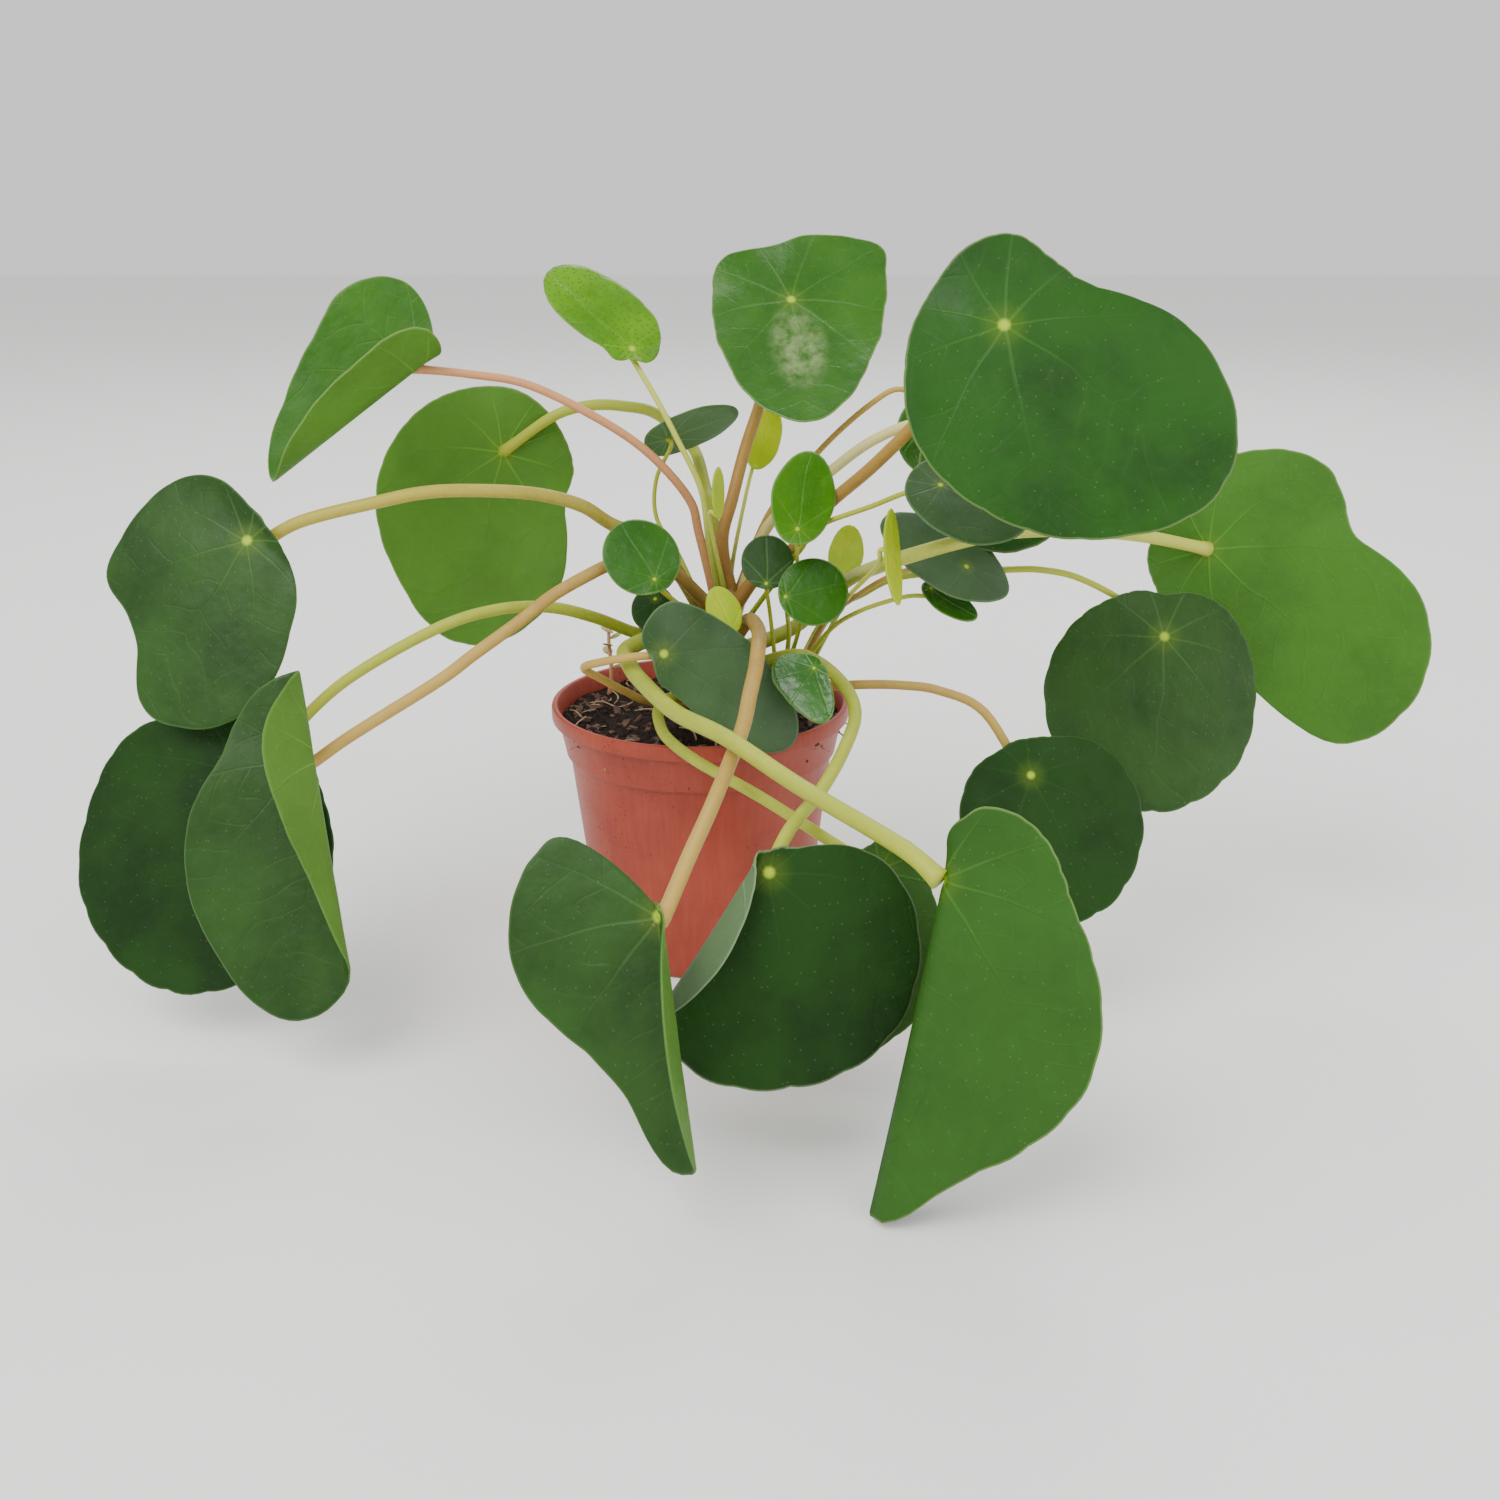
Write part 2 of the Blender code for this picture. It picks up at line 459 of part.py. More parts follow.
def make_seedling() -> None:
    """Build the tiny seedling by the rim: a thin stem with two pairs of round leaves."""
    foot = np.asarray(SEEDLING_FOOT)
    top = foot + (1.5, 0.5, SEEDLING_HEIGHT)
    route = np.linspace(foot, top, 5)
    stem = solid("seedling", tube_mesh(route, np.linspace(1.2, 0.9, 5), PETIOLE_SIDES))
    for k, (share, out) in enumerate(((0.35, 5.0), (0.6, 4.6), (0.8, 4.2), (0.97, 3.4))):
        angle = math.radians(200 + 137 * k)
        bm = bmesh.new()
        bmesh.ops.create_icosphere(bm, subdivisions=1, radius=1.0)
        bmesh.ops.scale(bm, vec=(3.6, 1.9, 0.8), verts=bm.verts)
        turn = np.array([[math.cos(angle), math.sin(angle), 0.35], [-math.sin(angle), math.cos(angle), 0],
                         [0, 0, 1]])
        for vert in bm.verts:
            vert.co = np.asarray(vert.co) @ turn
        centre = foot + (top - foot) * share + (out * 0.7 * math.cos(angle), out * 0.7 * math.sin(angle), 0.8)
        bmesh.ops.translate(bm, vec=centre, verts=bm.verts)
        combine(stem, solid("sprout_%d" % k, bm), "UNION")


def main() -> None:
    """Build every solid."""
    clear_scene()
    make_pot()
    make_soil()
    make_stem("stem_main", TRUNK_AXIS, TRUNK_RADII)
    make_stem("stem_offset", OFFSET_AXIS, OFFSET_RADII)
    make_seedling()
    for leaf in LARGE_LEAVES:
        make_large_leaf(leaf)
    for leaf in SMALL_LEAVES:
        make_small_leaf(leaf)


main()
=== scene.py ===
"""Looks of a potted Chinese money plant (Pilea peperomioides) in a terracotta-red nursery pot.

Lengths in the tables are millimetres and every finished mesh is in metres, with +Z up, the middle
of the pot's base at the origin and the camera on the -Y side.
"""

import json
import logging
import math
from dataclasses import dataclass
from enum import Enum

import bmesh
import bpy
import numpy as np
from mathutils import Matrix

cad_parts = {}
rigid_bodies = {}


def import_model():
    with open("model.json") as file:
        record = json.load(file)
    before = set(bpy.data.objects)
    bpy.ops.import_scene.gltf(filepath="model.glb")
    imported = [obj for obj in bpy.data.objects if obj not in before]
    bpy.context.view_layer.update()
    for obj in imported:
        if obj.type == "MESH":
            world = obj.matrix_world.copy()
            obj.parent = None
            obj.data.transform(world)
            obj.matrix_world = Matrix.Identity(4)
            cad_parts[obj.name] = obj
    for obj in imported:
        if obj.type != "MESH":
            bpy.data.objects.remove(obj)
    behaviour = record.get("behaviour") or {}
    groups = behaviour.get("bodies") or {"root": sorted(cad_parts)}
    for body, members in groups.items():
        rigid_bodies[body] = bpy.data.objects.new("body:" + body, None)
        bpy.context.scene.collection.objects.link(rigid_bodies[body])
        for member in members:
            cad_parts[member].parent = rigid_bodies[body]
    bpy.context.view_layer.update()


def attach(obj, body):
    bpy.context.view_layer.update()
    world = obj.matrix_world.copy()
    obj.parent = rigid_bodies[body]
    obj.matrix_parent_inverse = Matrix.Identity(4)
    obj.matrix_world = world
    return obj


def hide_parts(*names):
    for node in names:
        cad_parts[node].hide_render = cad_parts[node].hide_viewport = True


LOG = logging.getLogger("money_plant")
MM = 0.001
TO_METRES = ((MM, 0, 0, 0), (0, MM, 0, 0), (0, 0, MM, 0), (0, 0, 0, 1))
BODY = "root"
UV_SPAN = 240.0
MAIN_VEINS = 9
SIDE_VEIN_GAP = 11.0
UNDER_VEINS = 0.45
UNDER_GLOSS = 0.24
UNDER_DULLER = 0.16
Points = tuple[tuple[float, float, float], ...]
Colour = tuple[float, float, float, float]
Socket = bpy.types.NodeSocket


# ---- colours and node helpers ---------------------------------------------------------------


def colour(code: str) -> Colour:
    """Convert an sRGB hex code to linear light.

    Args:
        code: Six hex digits after a hash, such as "#3c6a2a".

    Returns:
        Linear red, green, blue and an alpha of one.
    """
    channels = [int(code[k:k + 2], 16) / 255 for k in (1, 3, 5)]
    linear = [c / 12.92 if c <= 0.04045 else ((c + 0.055) / 1.055) ** 2.4 for c in channels]
    return (*linear, 1.0)


def shaded(linear: Colour, factor: float) -> Colour:
    """Return a linear colour made darker or lighter."""
    return (*(min(1.0, channel * factor) for channel in linear[:3]), 1.0)


def add_node(tree: bpy.types.NodeTree, kind: str, *values, out: int | str = 0, **settings) -> Socket:
    """Add a node with its settings and links.

    Args:
        tree: The shader or geometry tree it goes into.
        kind: The node's type.
        *values: Numbers, colours or sockets for its inputs in their order; the last may be a dict
            of them by input name or number.
        out: Which of its outputs to hand back.
        **settings: The node's own properties.

    Returns:
        The chosen output.
    """
    node = tree.nodes.new(kind)
    for name, setting in settings.items():
        setattr(node, name, setting)
    filled = dict(enumerate(values))
    if values and isinstance(values[-1], dict):
        filled.update(filled.pop(len(values) - 1))
    for key, value in filled.items():
        if isinstance(value, Socket):
            tree.links.new(value, node.inputs[key])
        else:
            node.inputs[key].default_value = value
    return node.outputs[out]


class Graph:
    """A material's node tree, its shader and the patterns that several materials share."""

    def __init__(self, name: str) -> None:
        """Start a material with a Principled shader wired to its output."""
        self.material = bpy.data.materials.new(name)
        self.material.use_nodes = True
        self.tree = self.material.node_tree
        self.tree.nodes.clear()
        output = self.tree.nodes.new("ShaderNodeOutputMaterial")
        self.shader = self.tree.nodes.new("ShaderNodeBsdfPrincipled")
        self.tree.links.new(self.shader.outputs[0], output.inputs[0])

    def add(self, kind: str, *values, **settings) -> Socket:
        """Add a shader node as add_node does, its type given without "ShaderNode"."""
        return add_node(self.tree, "ShaderNode" + kind, *values, **settings)

    def math(self, operation: str, *values: float | Socket, clamp: bool = False) -> Socket:
        """Add a Math node."""
        return self.add("Math", *values, operation=operation, use_clamp=clamp)

    def stored(self, name: str, out: str = "Fac") -> Socket:
        """Read a value that the mesh stores under a name."""
        return self.add("Attribute", attribute_name=name, attribute_type="GEOMETRY", out=out)

    def object_mm(self) -> Socket:
        """Return the object's coordinates in millimetres."""
        place = self.add("TexCoord", out="Object")
        return self.add("VectorMath", place, {"Scale": 1000.0}, operation="SCALE")

    def lumps(self, place: Socket, pitch: float, detail: float = 2.0, rough: float = 0.5) -> Socket:
        """Return uneven heights from 0 to 1 whose lumps are about `pitch` of the place's unit across."""
        return self.add("TexNoise", {"Vector": place, "Scale": 1 / pitch, "Detail": detail,
                                     "Roughness": rough})

    def patches(self, heights: Socket, low: float, high: float) -> Socket:
        """Mask where heights rise from `low` to `high`, or fall where low is above high."""
        return self.add("MapRange", heights, low, high, interpolation_type="SMOOTHSTEP")

    def coat(self, base: Colour | Socket, *coats: tuple[Socket, float, Colour]) -> Socket:
        """Lay thin coats of colour over a base.

        Args:
            base: What is underneath.
            *coats: Each coat's mask, how far it covers where the mask is 1, and its colour.

        Returns:
            The finished colour.
        """
        for mask, cover, shade in coats:
            if cover != 1.0:
                mask = self.math("MULTIPLY", mask, cover)
            base = self.add("Mix", {0: mask, 6: base, 7: shade}, out=2, data_type="RGBA")
        return base

    def relief(self, *layers: tuple[Socket, float, float]) -> Socket:
        """Stack bumps on one another.

        Args:
            *layers: Each bump's height pattern, its strength and its depth in metres.

        Returns:
            The normal they give.
        """
        below: dict = {}
        for height, strength, depth in layers:
            fill = {"Height": height, "Strength": strength, "Distance": depth, **below}
            below = {"Normal": self.add("Bump", fill)}
        return below["Normal"]

    def finish(self, base: Colour | Socket, rough: float | Socket, normal: Socket,
               gloss: float = 0.5) -> bpy.types.Material:
        """Give the shader its settings.

        Args:
            base: The colour.
            rough: The roughness.
            normal: The normal, from its relief.
            gloss: How strongly it reflects.

        Returns:
            The finished material.
        """
        self.shader.inputs["Specular IOR Level"].default_value = gloss
        for key, value in (("Base Color", base), ("Roughness", rough), ("Normal", normal)):
            if isinstance(value, Socket):
                self.tree.links.new(value, self.shader.inputs[key])
            else:
                self.shader.inputs[key].default_value = value
        return self.material


# ---- finishes -------------------------------------------------------------------------------


class Side(Enum):
    """Which skin of a blade a finish is for."""

    UPPER = "upper"
    UNDER = "under"


@dataclass(frozen=True)
class LeafFinish:
    """How one kind of leaf looks.

    Attributes:
        name: What the kind is called.
        dark: The darker of the upper side's two greens.
        light: The lighter one.
        under: The underside's green.
        vein: The veins' green.
        spot: The pale spot over the petiole.
        rim: A painted highlight, the thin pale line along the margin.
        veins: How far the veins show, from 0 to 1.
        rough: The waxy upper side's roughness.
        bloom_and_reflection: How far a grey veil, waxy film and painted sky reflection, covers the upper
            side.
        dots: How far small dark dots show.
        speckle: How far tiny pale specks show.
        wrinkle: How uneven the upper side is.
        gloss: How strongly the upper side reflects.
        sheen: How far a painted highlight covers a crumpled stretch below the spot.
    """

    name: str
    dark: str
    light: str
    under: str = "#5c8a3a"
    vein: str = "#7fa052"
    spot: str = "#b4cc28"
    rim: str = "#8ea860"
    veins: float = 0.35
    rough: float = 0.42
    bloom_and_reflection: float = 0.0
    dots: float = 0.0
    speckle: float = 0.08
    wrinkle: float = 0.5
    gloss: float = 0.22
    sheen: float = 0.0


DEEP = LeafFinish("deep green leaf", "#0f2c04", "#193d0a", under="#2f5418", vein="#2c5220", rim="#4a7030",
                  veins=0.25, rough=0.5, gloss=0.16)
PALE_BACKED = LeafFinish("deep green leaf with a pale back", "#0f2c04", "#193d0a", under="#56704a",
                         vein="#2c5220",
                         rim="#90a378", veins=0.2, rough=0.5, gloss=0.16)
GRASS = LeafFinish("grass green leaf", "#143c04", "#1f4f08", under="#3c6c18", vein="#447a24", veins=0.3)
SUNLIT = LeafFinish("sunlit green leaf", "#265800", "#356a04", under="#4f7f22", vein="#79a040", veins=0.4)
FRESH = LeafFinish("fresh green leaf", "#1f5000", "#2c6002", under="#41751a", vein="#5f9424", veins=0.1,
                   rough=0.34, wrinkle=0.9, gloss=0.24)
GLOSSY = LeafFinish("glossy green leaf", "#1b4c04", "#2c640c", under="#41751a", vein="#5f9424", veins=0.1,
                    rough=0.22, wrinkle=1.1, gloss=0.45)
CROWN_TOP = LeafFinish("top leaf", "#235400", "#32640a", under="#41751a", vein="#6d9838", veins=0.15,
                       rough=0.3, wrinkle=1.0, gloss=0.32, sheen=0.5)
SHADE = LeafFinish("shaded green leaf", "#1b3b0c", "#284c14", under="#507a28", vein="#4c7a34",
                   rim="#557a38",
                   veins=0.3)
FRONT = LeafFinish("front green leaf", "#1b4a0c", "#255812", under="#2c5812", vein="#4c7c34", veins=0.4)
# A grey veil over these leaves is partly waxy film, partly painted reflection of the sky.
BLOOM_AND_REFLECTION = LeafFinish("grey-green leaf", "#213f16", "#2e5020", under="#4c7440", vein="#4c7040", rim="#6d8a5c",
                   veins=0.05, bloom_and_reflection=0.12, gloss=0.24)
LIME = LeafFinish("young yellow-green leaf", "#93b006", "#b6c70c", under="#8aa614", vein="#a8bc28",
                  rim="#aabb30", veins=0.15, rough=0.36, wrinkle=0.4, gloss=0.15)
MEADOW = LeafFinish("meadow green leaf", "#306400", "#437800", under="#41751a", vein="#6f9c24", veins=0.1,
                    rough=0.34, wrinkle=0.9, gloss=0.2)
BRIGHT = LeafFinish("young bright leaf", "#427600", "#5c9000", under="#6a9a18", vein="#7fa824",
                    rim="#7c9f28",
                    veins=0.12, rough=0.24, dots=1.5, wrinkle=0.9, gloss=0.24)


@dataclass(frozen=True)
class StalkFinish:
    """How a petiole or stem looks.

    Attributes:
        name: What it is called.
        foot: Its colour where it leaves the stem.
        top: Its colour where it meets the blade.
    """

    name: str
    foot: str
    top: str


GREEN_STALK = StalkFinish("yellow-green petiole", "#86902a", "#aab238")
PALE_STALK = StalkFinish("pale green petiole", "#939c38", "#bcc050")
CREAM_STALK = StalkFinish("cream petiole", "#b0a460", "#d2ca84")
TAN_STALK = StalkFinish("tan petiole", "#8f7038", "#b8984a")
PINK_STALK = StalkFinish("pinkish petiole", "#a87848", "#c88c60")
BROWN_STALK = StalkFinish("brown petiole", "#906a36", "#a8843c")
OLIVE_STALK = StalkFinish("olive petiole", "#807428", "#aea03e")


def leaf_plane(graph: Graph) -> tuple[Socket, Socket, Socket]:
    """Read where a point is on its leaf.

    Returns:
        Its place in the leaf's own flat plane, its distance from the petiole and its heading, in
        millimetres and radians.
    """
    uv = graph.add("UVMap", uv_map="leaf")
    centred = graph.add("VectorMath", uv, (0.5, 0.5, 0.0), operation="SUBTRACT")
    place = graph.add("VectorMath", centred, {"Scale": UV_SPAN}, operation="SCALE")
    x, y, _ = graph.add("SeparateXYZ", place).node.outputs
    distance = graph.add("VectorMath", place, operation="LENGTH", out="Value")
    return place, distance, graph.math("ARCTAN2", y, x)


def nearest(graph: Graph, value: Socket) -> Socket:
    """Return how far a value is from the nearest whole number."""
    whole = graph.math("ROUND", value)
    return graph.math("ABSOLUTE", graph.math("SUBTRACT", value, whole))


def vein_lines(graph: Graph, place: Socket, distance: Socket, heading: Socket) -> tuple[Socket, Socket]:
    """Draw a shield-shaped leaf's veins: main ones from the petiole, side ones leaving them.

    Args:
        graph: The material's graph.
        place: The point's place in the leaf's plane.
        distance: How far it is from the petiole.
        heading: Its heading from the tip.

    Returns:
        Masks of the main and of the side veins, each from 0 to 1.
    """
    drift = graph.math("SUBTRACT", graph.lumps(place, 42.0, 1.0), 0.5)
    turn = graph.math("ADD", heading, graph.math("MULTIPLY", drift, 0.55))
    # The main veins share the circle evenly, one of them near the tip.
    sector = math.tau / MAIN_VEINS
    near = nearest(graph, graph.math("MULTIPLY", turn, 1 / sector))
    arc = graph.math("MULTIPLY", near, sector)
    across = graph.math("MULTIPLY", arc, distance)
    # A main vein is widest by the petiole and thins to a hair towards the margin.
    swell = graph.math("MULTIPLY", graph.patches(distance, 60.0, 4.0), 0.3)
    half = graph.math("ADD", swell, 0.12)
    main = graph.patches(graph.math("DIVIDE", across, half), 1.5, 0.5)
    # Side veins leave the main ones at a slant.
    slant = graph.math("SUBTRACT", distance, graph.math("MULTIPLY", across, 0.75))
    wander = graph.math("MULTIPLY", graph.lumps(place, 14.0, 1.0), 7.0)
    path = graph.math("ADD", slant, wander)
    row = nearest(graph, graph.math("DIVIDE", path, SIDE_VEIN_GAP))
    gap = graph.math("MULTIPLY", row, SIDE_VEIN_GAP)
    outside = graph.patches(distance, 10.0, 22.0)
    return main, graph.math("MULTIPLY", graph.patches(gap, 0.7, 0.15), outside)


def sheen_patch(graph: Graph, place: Socket, shifted: Socket) -> Socket:
    """Mask the crumpled stretch below a leaf's spot that gets a painted highlight."""
    centred = graph.add("VectorMath", place, (24.0, 0.0, 0.0), operation="SUBTRACT")
    x, y, _ = graph.add("SeparateXYZ", centred).node.outputs
    along = graph.math("DIVIDE", x, 22.0)
    across = graph.math("DIVIDE", y, 12.0)
    along = graph.math("MULTIPLY", along, along)
    across = graph.math("MULTIPLY", across, across)
    oval_mask = graph.patches(graph.math("ADD", along, across), 1.2, 0.1)
    crumple = graph.patches(graph.lumps(shifted, 5.0, 4.0, 0.65), 0.25, 0.8)
    return graph.math("MULTIPLY", oval_mask, crumple)


def sprinkled(graph: Graph, place: Socket, pitch: float, uneven: float,
              reach: tuple[float, float]) -> tuple[Socket, Socket]:
    """Mask small round dots, one to a cell.

    Args:
        graph: The material's graph.
        place: The coordinates they lie on.
        pitch: How far apart they are.
        uneven: How irregular their spacing is, from 0 to 1.
        reach: The share of the pitch where a dot ends and where it is full.

    Returns:
        The mask, and a colour that tells the cells apart.
    """
    fill = {"Vector": place, "Scale": 1 / pitch, "Randomness": uneven}
    cells = graph.add("TexVoronoi", fill, voronoi_dimensions="2D", out="Distance")
    return graph.patches(cells, *reach), cells.node.outputs["Color"]


def leaf_material(finish: LeafFinish, side: Side) -> bpy.types.Material:
    """Make the material of one skin of one kind of leaf: waxy above, duller with raised veins below.

    Args:
        finish: The kind of leaf.
        side: Which of its two skins.

    Returns:
        The material, named for what it is.
    """
    under = side is Side.UNDER
    graph = Graph(f"{finish.name} {side.value} side")
    place, distance, heading = leaf_plane(graph)
    shifted = graph.add("VectorMath", place, graph.stored("seed", "Vector"), operation="ADD")
    veins = vein_lines(graph, place, distance, heading)
    flesh = leaf_flesh(graph, finish, under, shifted)
    coats = vein_coats(graph, finish, under, distance, veins)
    if finish.dots and not under:
        dots, _ = sprinkled(graph, shifted, 2.6, 0.8, (0.2, 0.12))
        coats.append((dots, finish.dots * 0.6, colour("#3f6d10")))
    specks, cell = sprinkled(graph, shifted, 3.4, 1.0, (0.1, 0.05))
    rare = graph.patches(graph.add("SeparateColor", cell), 0.72, 0.8)
    specks = graph.math("MULTIPLY", specks, rare)
    # The spot where the petiole joins glows pale, smaller on a smaller leaf.
    near = graph.math("DIVIDE", distance, graph.stored("size"))
    coats += [
        (specks, finish.speckle, colour("#b9c4a4")),
        (graph.patches(near, 9.0, 2.0), 0.07, colour(finish.spot)),
        (graph.patches(near, 2.6, 0.8), 0.8, colour(finish.spot)),
        # Painted highlight: a thin pale line along the margin.
        (graph.patches(graph.stored("edge"), 0.9, 0.3), 0.34, colour(finish.rim)),
    ]
    # Painted highlight: a pale coat on the crumpled stretch where its wax reflects the light.
    if finish.sheen:
        coats.append((sheen_patch(graph, place, shifted), finish.sheen, colour("#a9bb80")))
    base = graph.coat(flesh, *coats)

    wax = graph.math("MULTIPLY", graph.patches(graph.lumps(shifted, 9.0, 3.0), 0.25, 0.75), 0.14)
    dullest = finish.rough - 0.05 + (UNDER_DULLER if under else 0.0)
    rough = graph.math("ADD", dullest, wax)
    side_crease = graph.math("MULTIPLY", veins[1], 0.45)
    crease = graph.math("ADD", veins[0], side_crease)
    crease = graph.math("MULTIPLY", crease, 1.0 if under else -1.0)
    normal = graph.relief(
        (crease, 0.5 if under else 0.3, 0.0004),
        (graph.lumps(shifted, 7.5, 3.0), 0.25 + 0.35 * finish.wrinkle, 0.0012),
        (graph.lumps(shifted, 0.7, 3.0, 0.6), 0.18, 0.0002),
    )
    return graph.finish(base, rough, normal, UNDER_GLOSS if under else finish.gloss)


def leaf_flesh(graph: Graph, finish: LeafFinish, under: bool, shifted: Socket) -> Socket:
    """Cloud a skin with its two greens, a finer grain and, above, a grey veil: waxy film and painted
    reflection.

    Args:
        graph: The material's graph.
        finish: The kind of leaf.
        under: True for its underside.
        shifted: The leaf's plane, moved so that no two leaves share a pattern.

    Returns:
        The colour.
    """
    dark = colour(finish.under) if under else colour(finish.dark)
    light = shaded(colour(finish.under), 0.8) if under else colour(finish.light)
    grain = shaded(colour(finish.under if under else finish.light), 1.25)
    coats = [
        (graph.patches(graph.lumps(shifted, 38.0, 3.0, 0.55), 0.36, 0.66), 1.0, light),
        (graph.patches(graph.lumps(shifted, 3.2, 4.0, 0.65), 0.3, 0.75), 0.2, grain),
    ]
    # Grey veil: partly waxy film, partly painted reflection of the sky off the glossy upper side.
    if finish.bloom_and_reflection and not under:
        coats.append((graph.patches(graph.lumps(shifted, 34.0), 0.25, 0.75), finish.bloom_and_reflection,
                      colour("#8fa58c")))
    return graph.coat(dark, *coats)


def vein_coats(graph: Graph, finish: LeafFinish, under: bool, distance: Socket,
               veins: tuple[Socket, Socket]) -> list[tuple[Socket, float, Colour]]:
    """Colour the veins; the main ones fade away from the petiole.

    Args:
        graph: The material's graph.
        finish: The kind of leaf.
        under: True for its underside, where they show more.
        distance: How far the point is from the petiole.
        veins: The masks of the main and of the side veins.

    Returns:
        Their coats of colour.
    """
    main, side_veins = veins
    strength = max(finish.veins, UNDER_VEINS) if under else finish.veins
    shade = shaded(colour(finish.under), 1.9) if under else colour(finish.vein)
    close = graph.math("MULTIPLY", graph.patches(distance, 30.0, 4.0), 0.75)
    far = graph.math("MULTIPLY", graph.patches(distance, 95.0, 20.0), 0.22)
    fade = graph.math("ADD", close, far)
    fade = graph.math("MULTIPLY", fade, strength)
    seen = graph.math("MULTIPLY", main, fade, clamp=True)
    return [(seen, 1.0, shade), (side_veins, strength * 0.08, shade)]


def stalk_material(finish: StalkFinish) -> bpy.types.Material:
    """Make a petiole's smooth, fleshy skin, which turns from its foot's colour to its top's."""
    graph = Graph(finish.name)
    place = graph.object_mm()
    foot, top = colour(finish.foot), colour(finish.top)
    drift = graph.math("SUBTRACT", graph.lumps(place, 9.0, 3.0, 0.6), 0.5)
    drift = graph.math("MULTIPLY", drift, 0.5)
    blend = graph.math("ADD", graph.stored("along"), drift, clamp=True)
    streak = graph.lumps(place, 1.3, 3.0, 0.7)
    base = graph.coat(
        foot,
        (graph.patches(blend, 0.05, 0.75), 1.0, top),
        (graph.patches(streak, 0.35, 0.75), 0.25, shaded(top, 1.2)),
        (graph.patches(graph.lumps(place, 0.8), 0.66, 0.74), 0.18, shaded(foot, 0.7)),
    )
    return graph.finish(base, 0.45, graph.relief((streak, 0.25, 0.0003)), 0.26)


def pot_material() -> bpy.types.Material:
    """Make moulded terracotta-red polypropylene: satin, faintly streaked, dusted with soil outside."""
    graph = Graph("terracotta-red plastic")
    place = graph.object_mm()
    stretched = graph.add("VectorMath", place, (1.0, 1.0, 0.06), operation="MULTIPLY")
    # Soil specks under a millimetre across gather in drifts, most of them on the pot's left.
    dust = graph.patches(graph.lumps(place, 0.9, 2.0, 0.6), 0.64, 0.69)
    left = graph.patches(graph.add("SeparateXYZ", place), -8.0, -46.0)
    left = graph.math("MULTIPLY", left, 0.25)
    drifts = graph.math("ADD", graph.lumps(place, 22.0), left)
    grime = graph.math("MULTIPLY", dust, graph.patches(drifts, 0.5, 0.66))
    base = graph.coat(
        colour("#93392a"),
        (graph.patches(graph.lumps(place, 30.0, 3.0), 0.3, 0.7), 1.0, colour("#a34634")),
        (graph.patches(graph.lumps(stretched, 2.0, 3.0), 0.35, 0.75), 0.16, colour("#b8604a")),
        (grime, 0.75, colour("#47241a")),
    )
    dull = graph.math("MULTIPLY", grime, 0.4)
    rough = graph.math("ADD", 0.42, dull)
    normal = graph.relief((graph.lumps(place, 0.5), 0.1, 0.0002), (grime, 0.4, 0.0004))
    return graph.finish(base, rough, normal, 0.28)


def soil_material() -> bpy.types.Material:
    """Make dark damp potting soil, clumped, with paler crumbs."""
    graph = Graph("potting soil")
    place = graph.object_mm()
    base = graph.coat(
        colour("#150d09"),
        (graph.patches(graph.lumps(place, 5.0, 5.0, 0.7), 0.3, 0.7), 1.0, colour("#342218")),
        (graph.patches(graph.lumps(place, 1.2, 4.0, 0.75), 0.6, 0.72), 0.45, colour("#6b4e38")),
    )
    return graph.finish(base, 0.92, graph.relief((graph.lumps(place, 1.5, 6.0, 0.75), 0.9, 0.002)), 0.2)


def plain_material(name: str, base: str, rough: float) -> bpy.types.Material:
    """Make a mottled matt material, such as bark or a seedling's leaf."""
    graph = Graph(name)
    patch = graph.patches(graph.lumps(graph.object_mm(), 3.0, 4.0, 0.65), 0.3, 0.7)
    mottled = graph.coat(colour(base), (patch, 1.0, shaded(colour(base), 0.6)))
    return graph.finish(mottled, rough, graph.relief((patch, 0.4, 0.0005)))


class Paint:
    """Every material, made once and shared by the pieces that use it."""

    def __init__(self) -> None:
        """Start with nothing made."""
        self.made: dict[str, bpy.types.Material] = {}

    def leaf(self, finish: LeafFinish, side: Side) -> bpy.types.Material:
        """Return a leaf skin's material."""
        key = finish.name + side.value
        if key not in self.made:
            self.made[key] = leaf_material(finish, side)
        return self.made[key]

    def stalk(self, finish: StalkFinish) -> bpy.types.Material:
        """Return a petiole's material."""
        if finish.name not in self.made:
            self.made[finish.name] = stalk_material(finish)
        return self.made[finish.name]


# ---- geometry -------------------------------------------------------------------------------


def unit(vector) -> np.ndarray:
    """Return the vector at length one."""
    vector = np.asarray(vector, float)
    return vector / np.linalg.norm(vector)


def add_object(name: str, data: bpy.types.ID) -> bpy.types.Object:
    """Make an object of a mesh, camera or light and link it to the scene."""
    obj = bpy.data.objects.new(name, data)
    bpy.context.scene.collection.objects.link(obj)
    return obj


def written_mesh(name: str, bm: bmesh.types.BMesh) -> bpy.types.Mesh:
    """Write an edit mesh out as a mesh and free it."""
    mesh = bpy.data.meshes.new(name)
    bm.to_mesh(mesh)
    bm.free()
    return mesh


def store(mesh: bpy.types.Mesh, name: str, values: np.ndarray) -> None:
    """Store one number or vector for each of the mesh's points, for its material to read."""
    kind, key = ("FLOAT", "value") if values.ndim == 1 else ("FLOAT_VECTOR", "vector")
    mesh.attributes.new(name, kind, "POINT").data.foreach_set(key, values.ravel())


def finish_piece(name: str, mesh: bpy.types.Mesh, materials: list,
                 nodes: tuple) -> bpy.types.Object:
    """Link a finished mesh as a piece that stands for its solids.

    Args:
        name: The piece's name.
        mesh: Its mesh, in millimetres.
        materials: Its materials in slot order.
        nodes: The solids it stands for.

    Returns:
        The piece.
    """
    mesh.transform(TO_METRES)
    for material in materials:
        mesh.materials.append(material)
    for polygon in mesh.polygons:
        polygon.use_smooth = True
    obj = add_object(name, mesh)
    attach(obj, BODY)
    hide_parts(*nodes)
    return obj


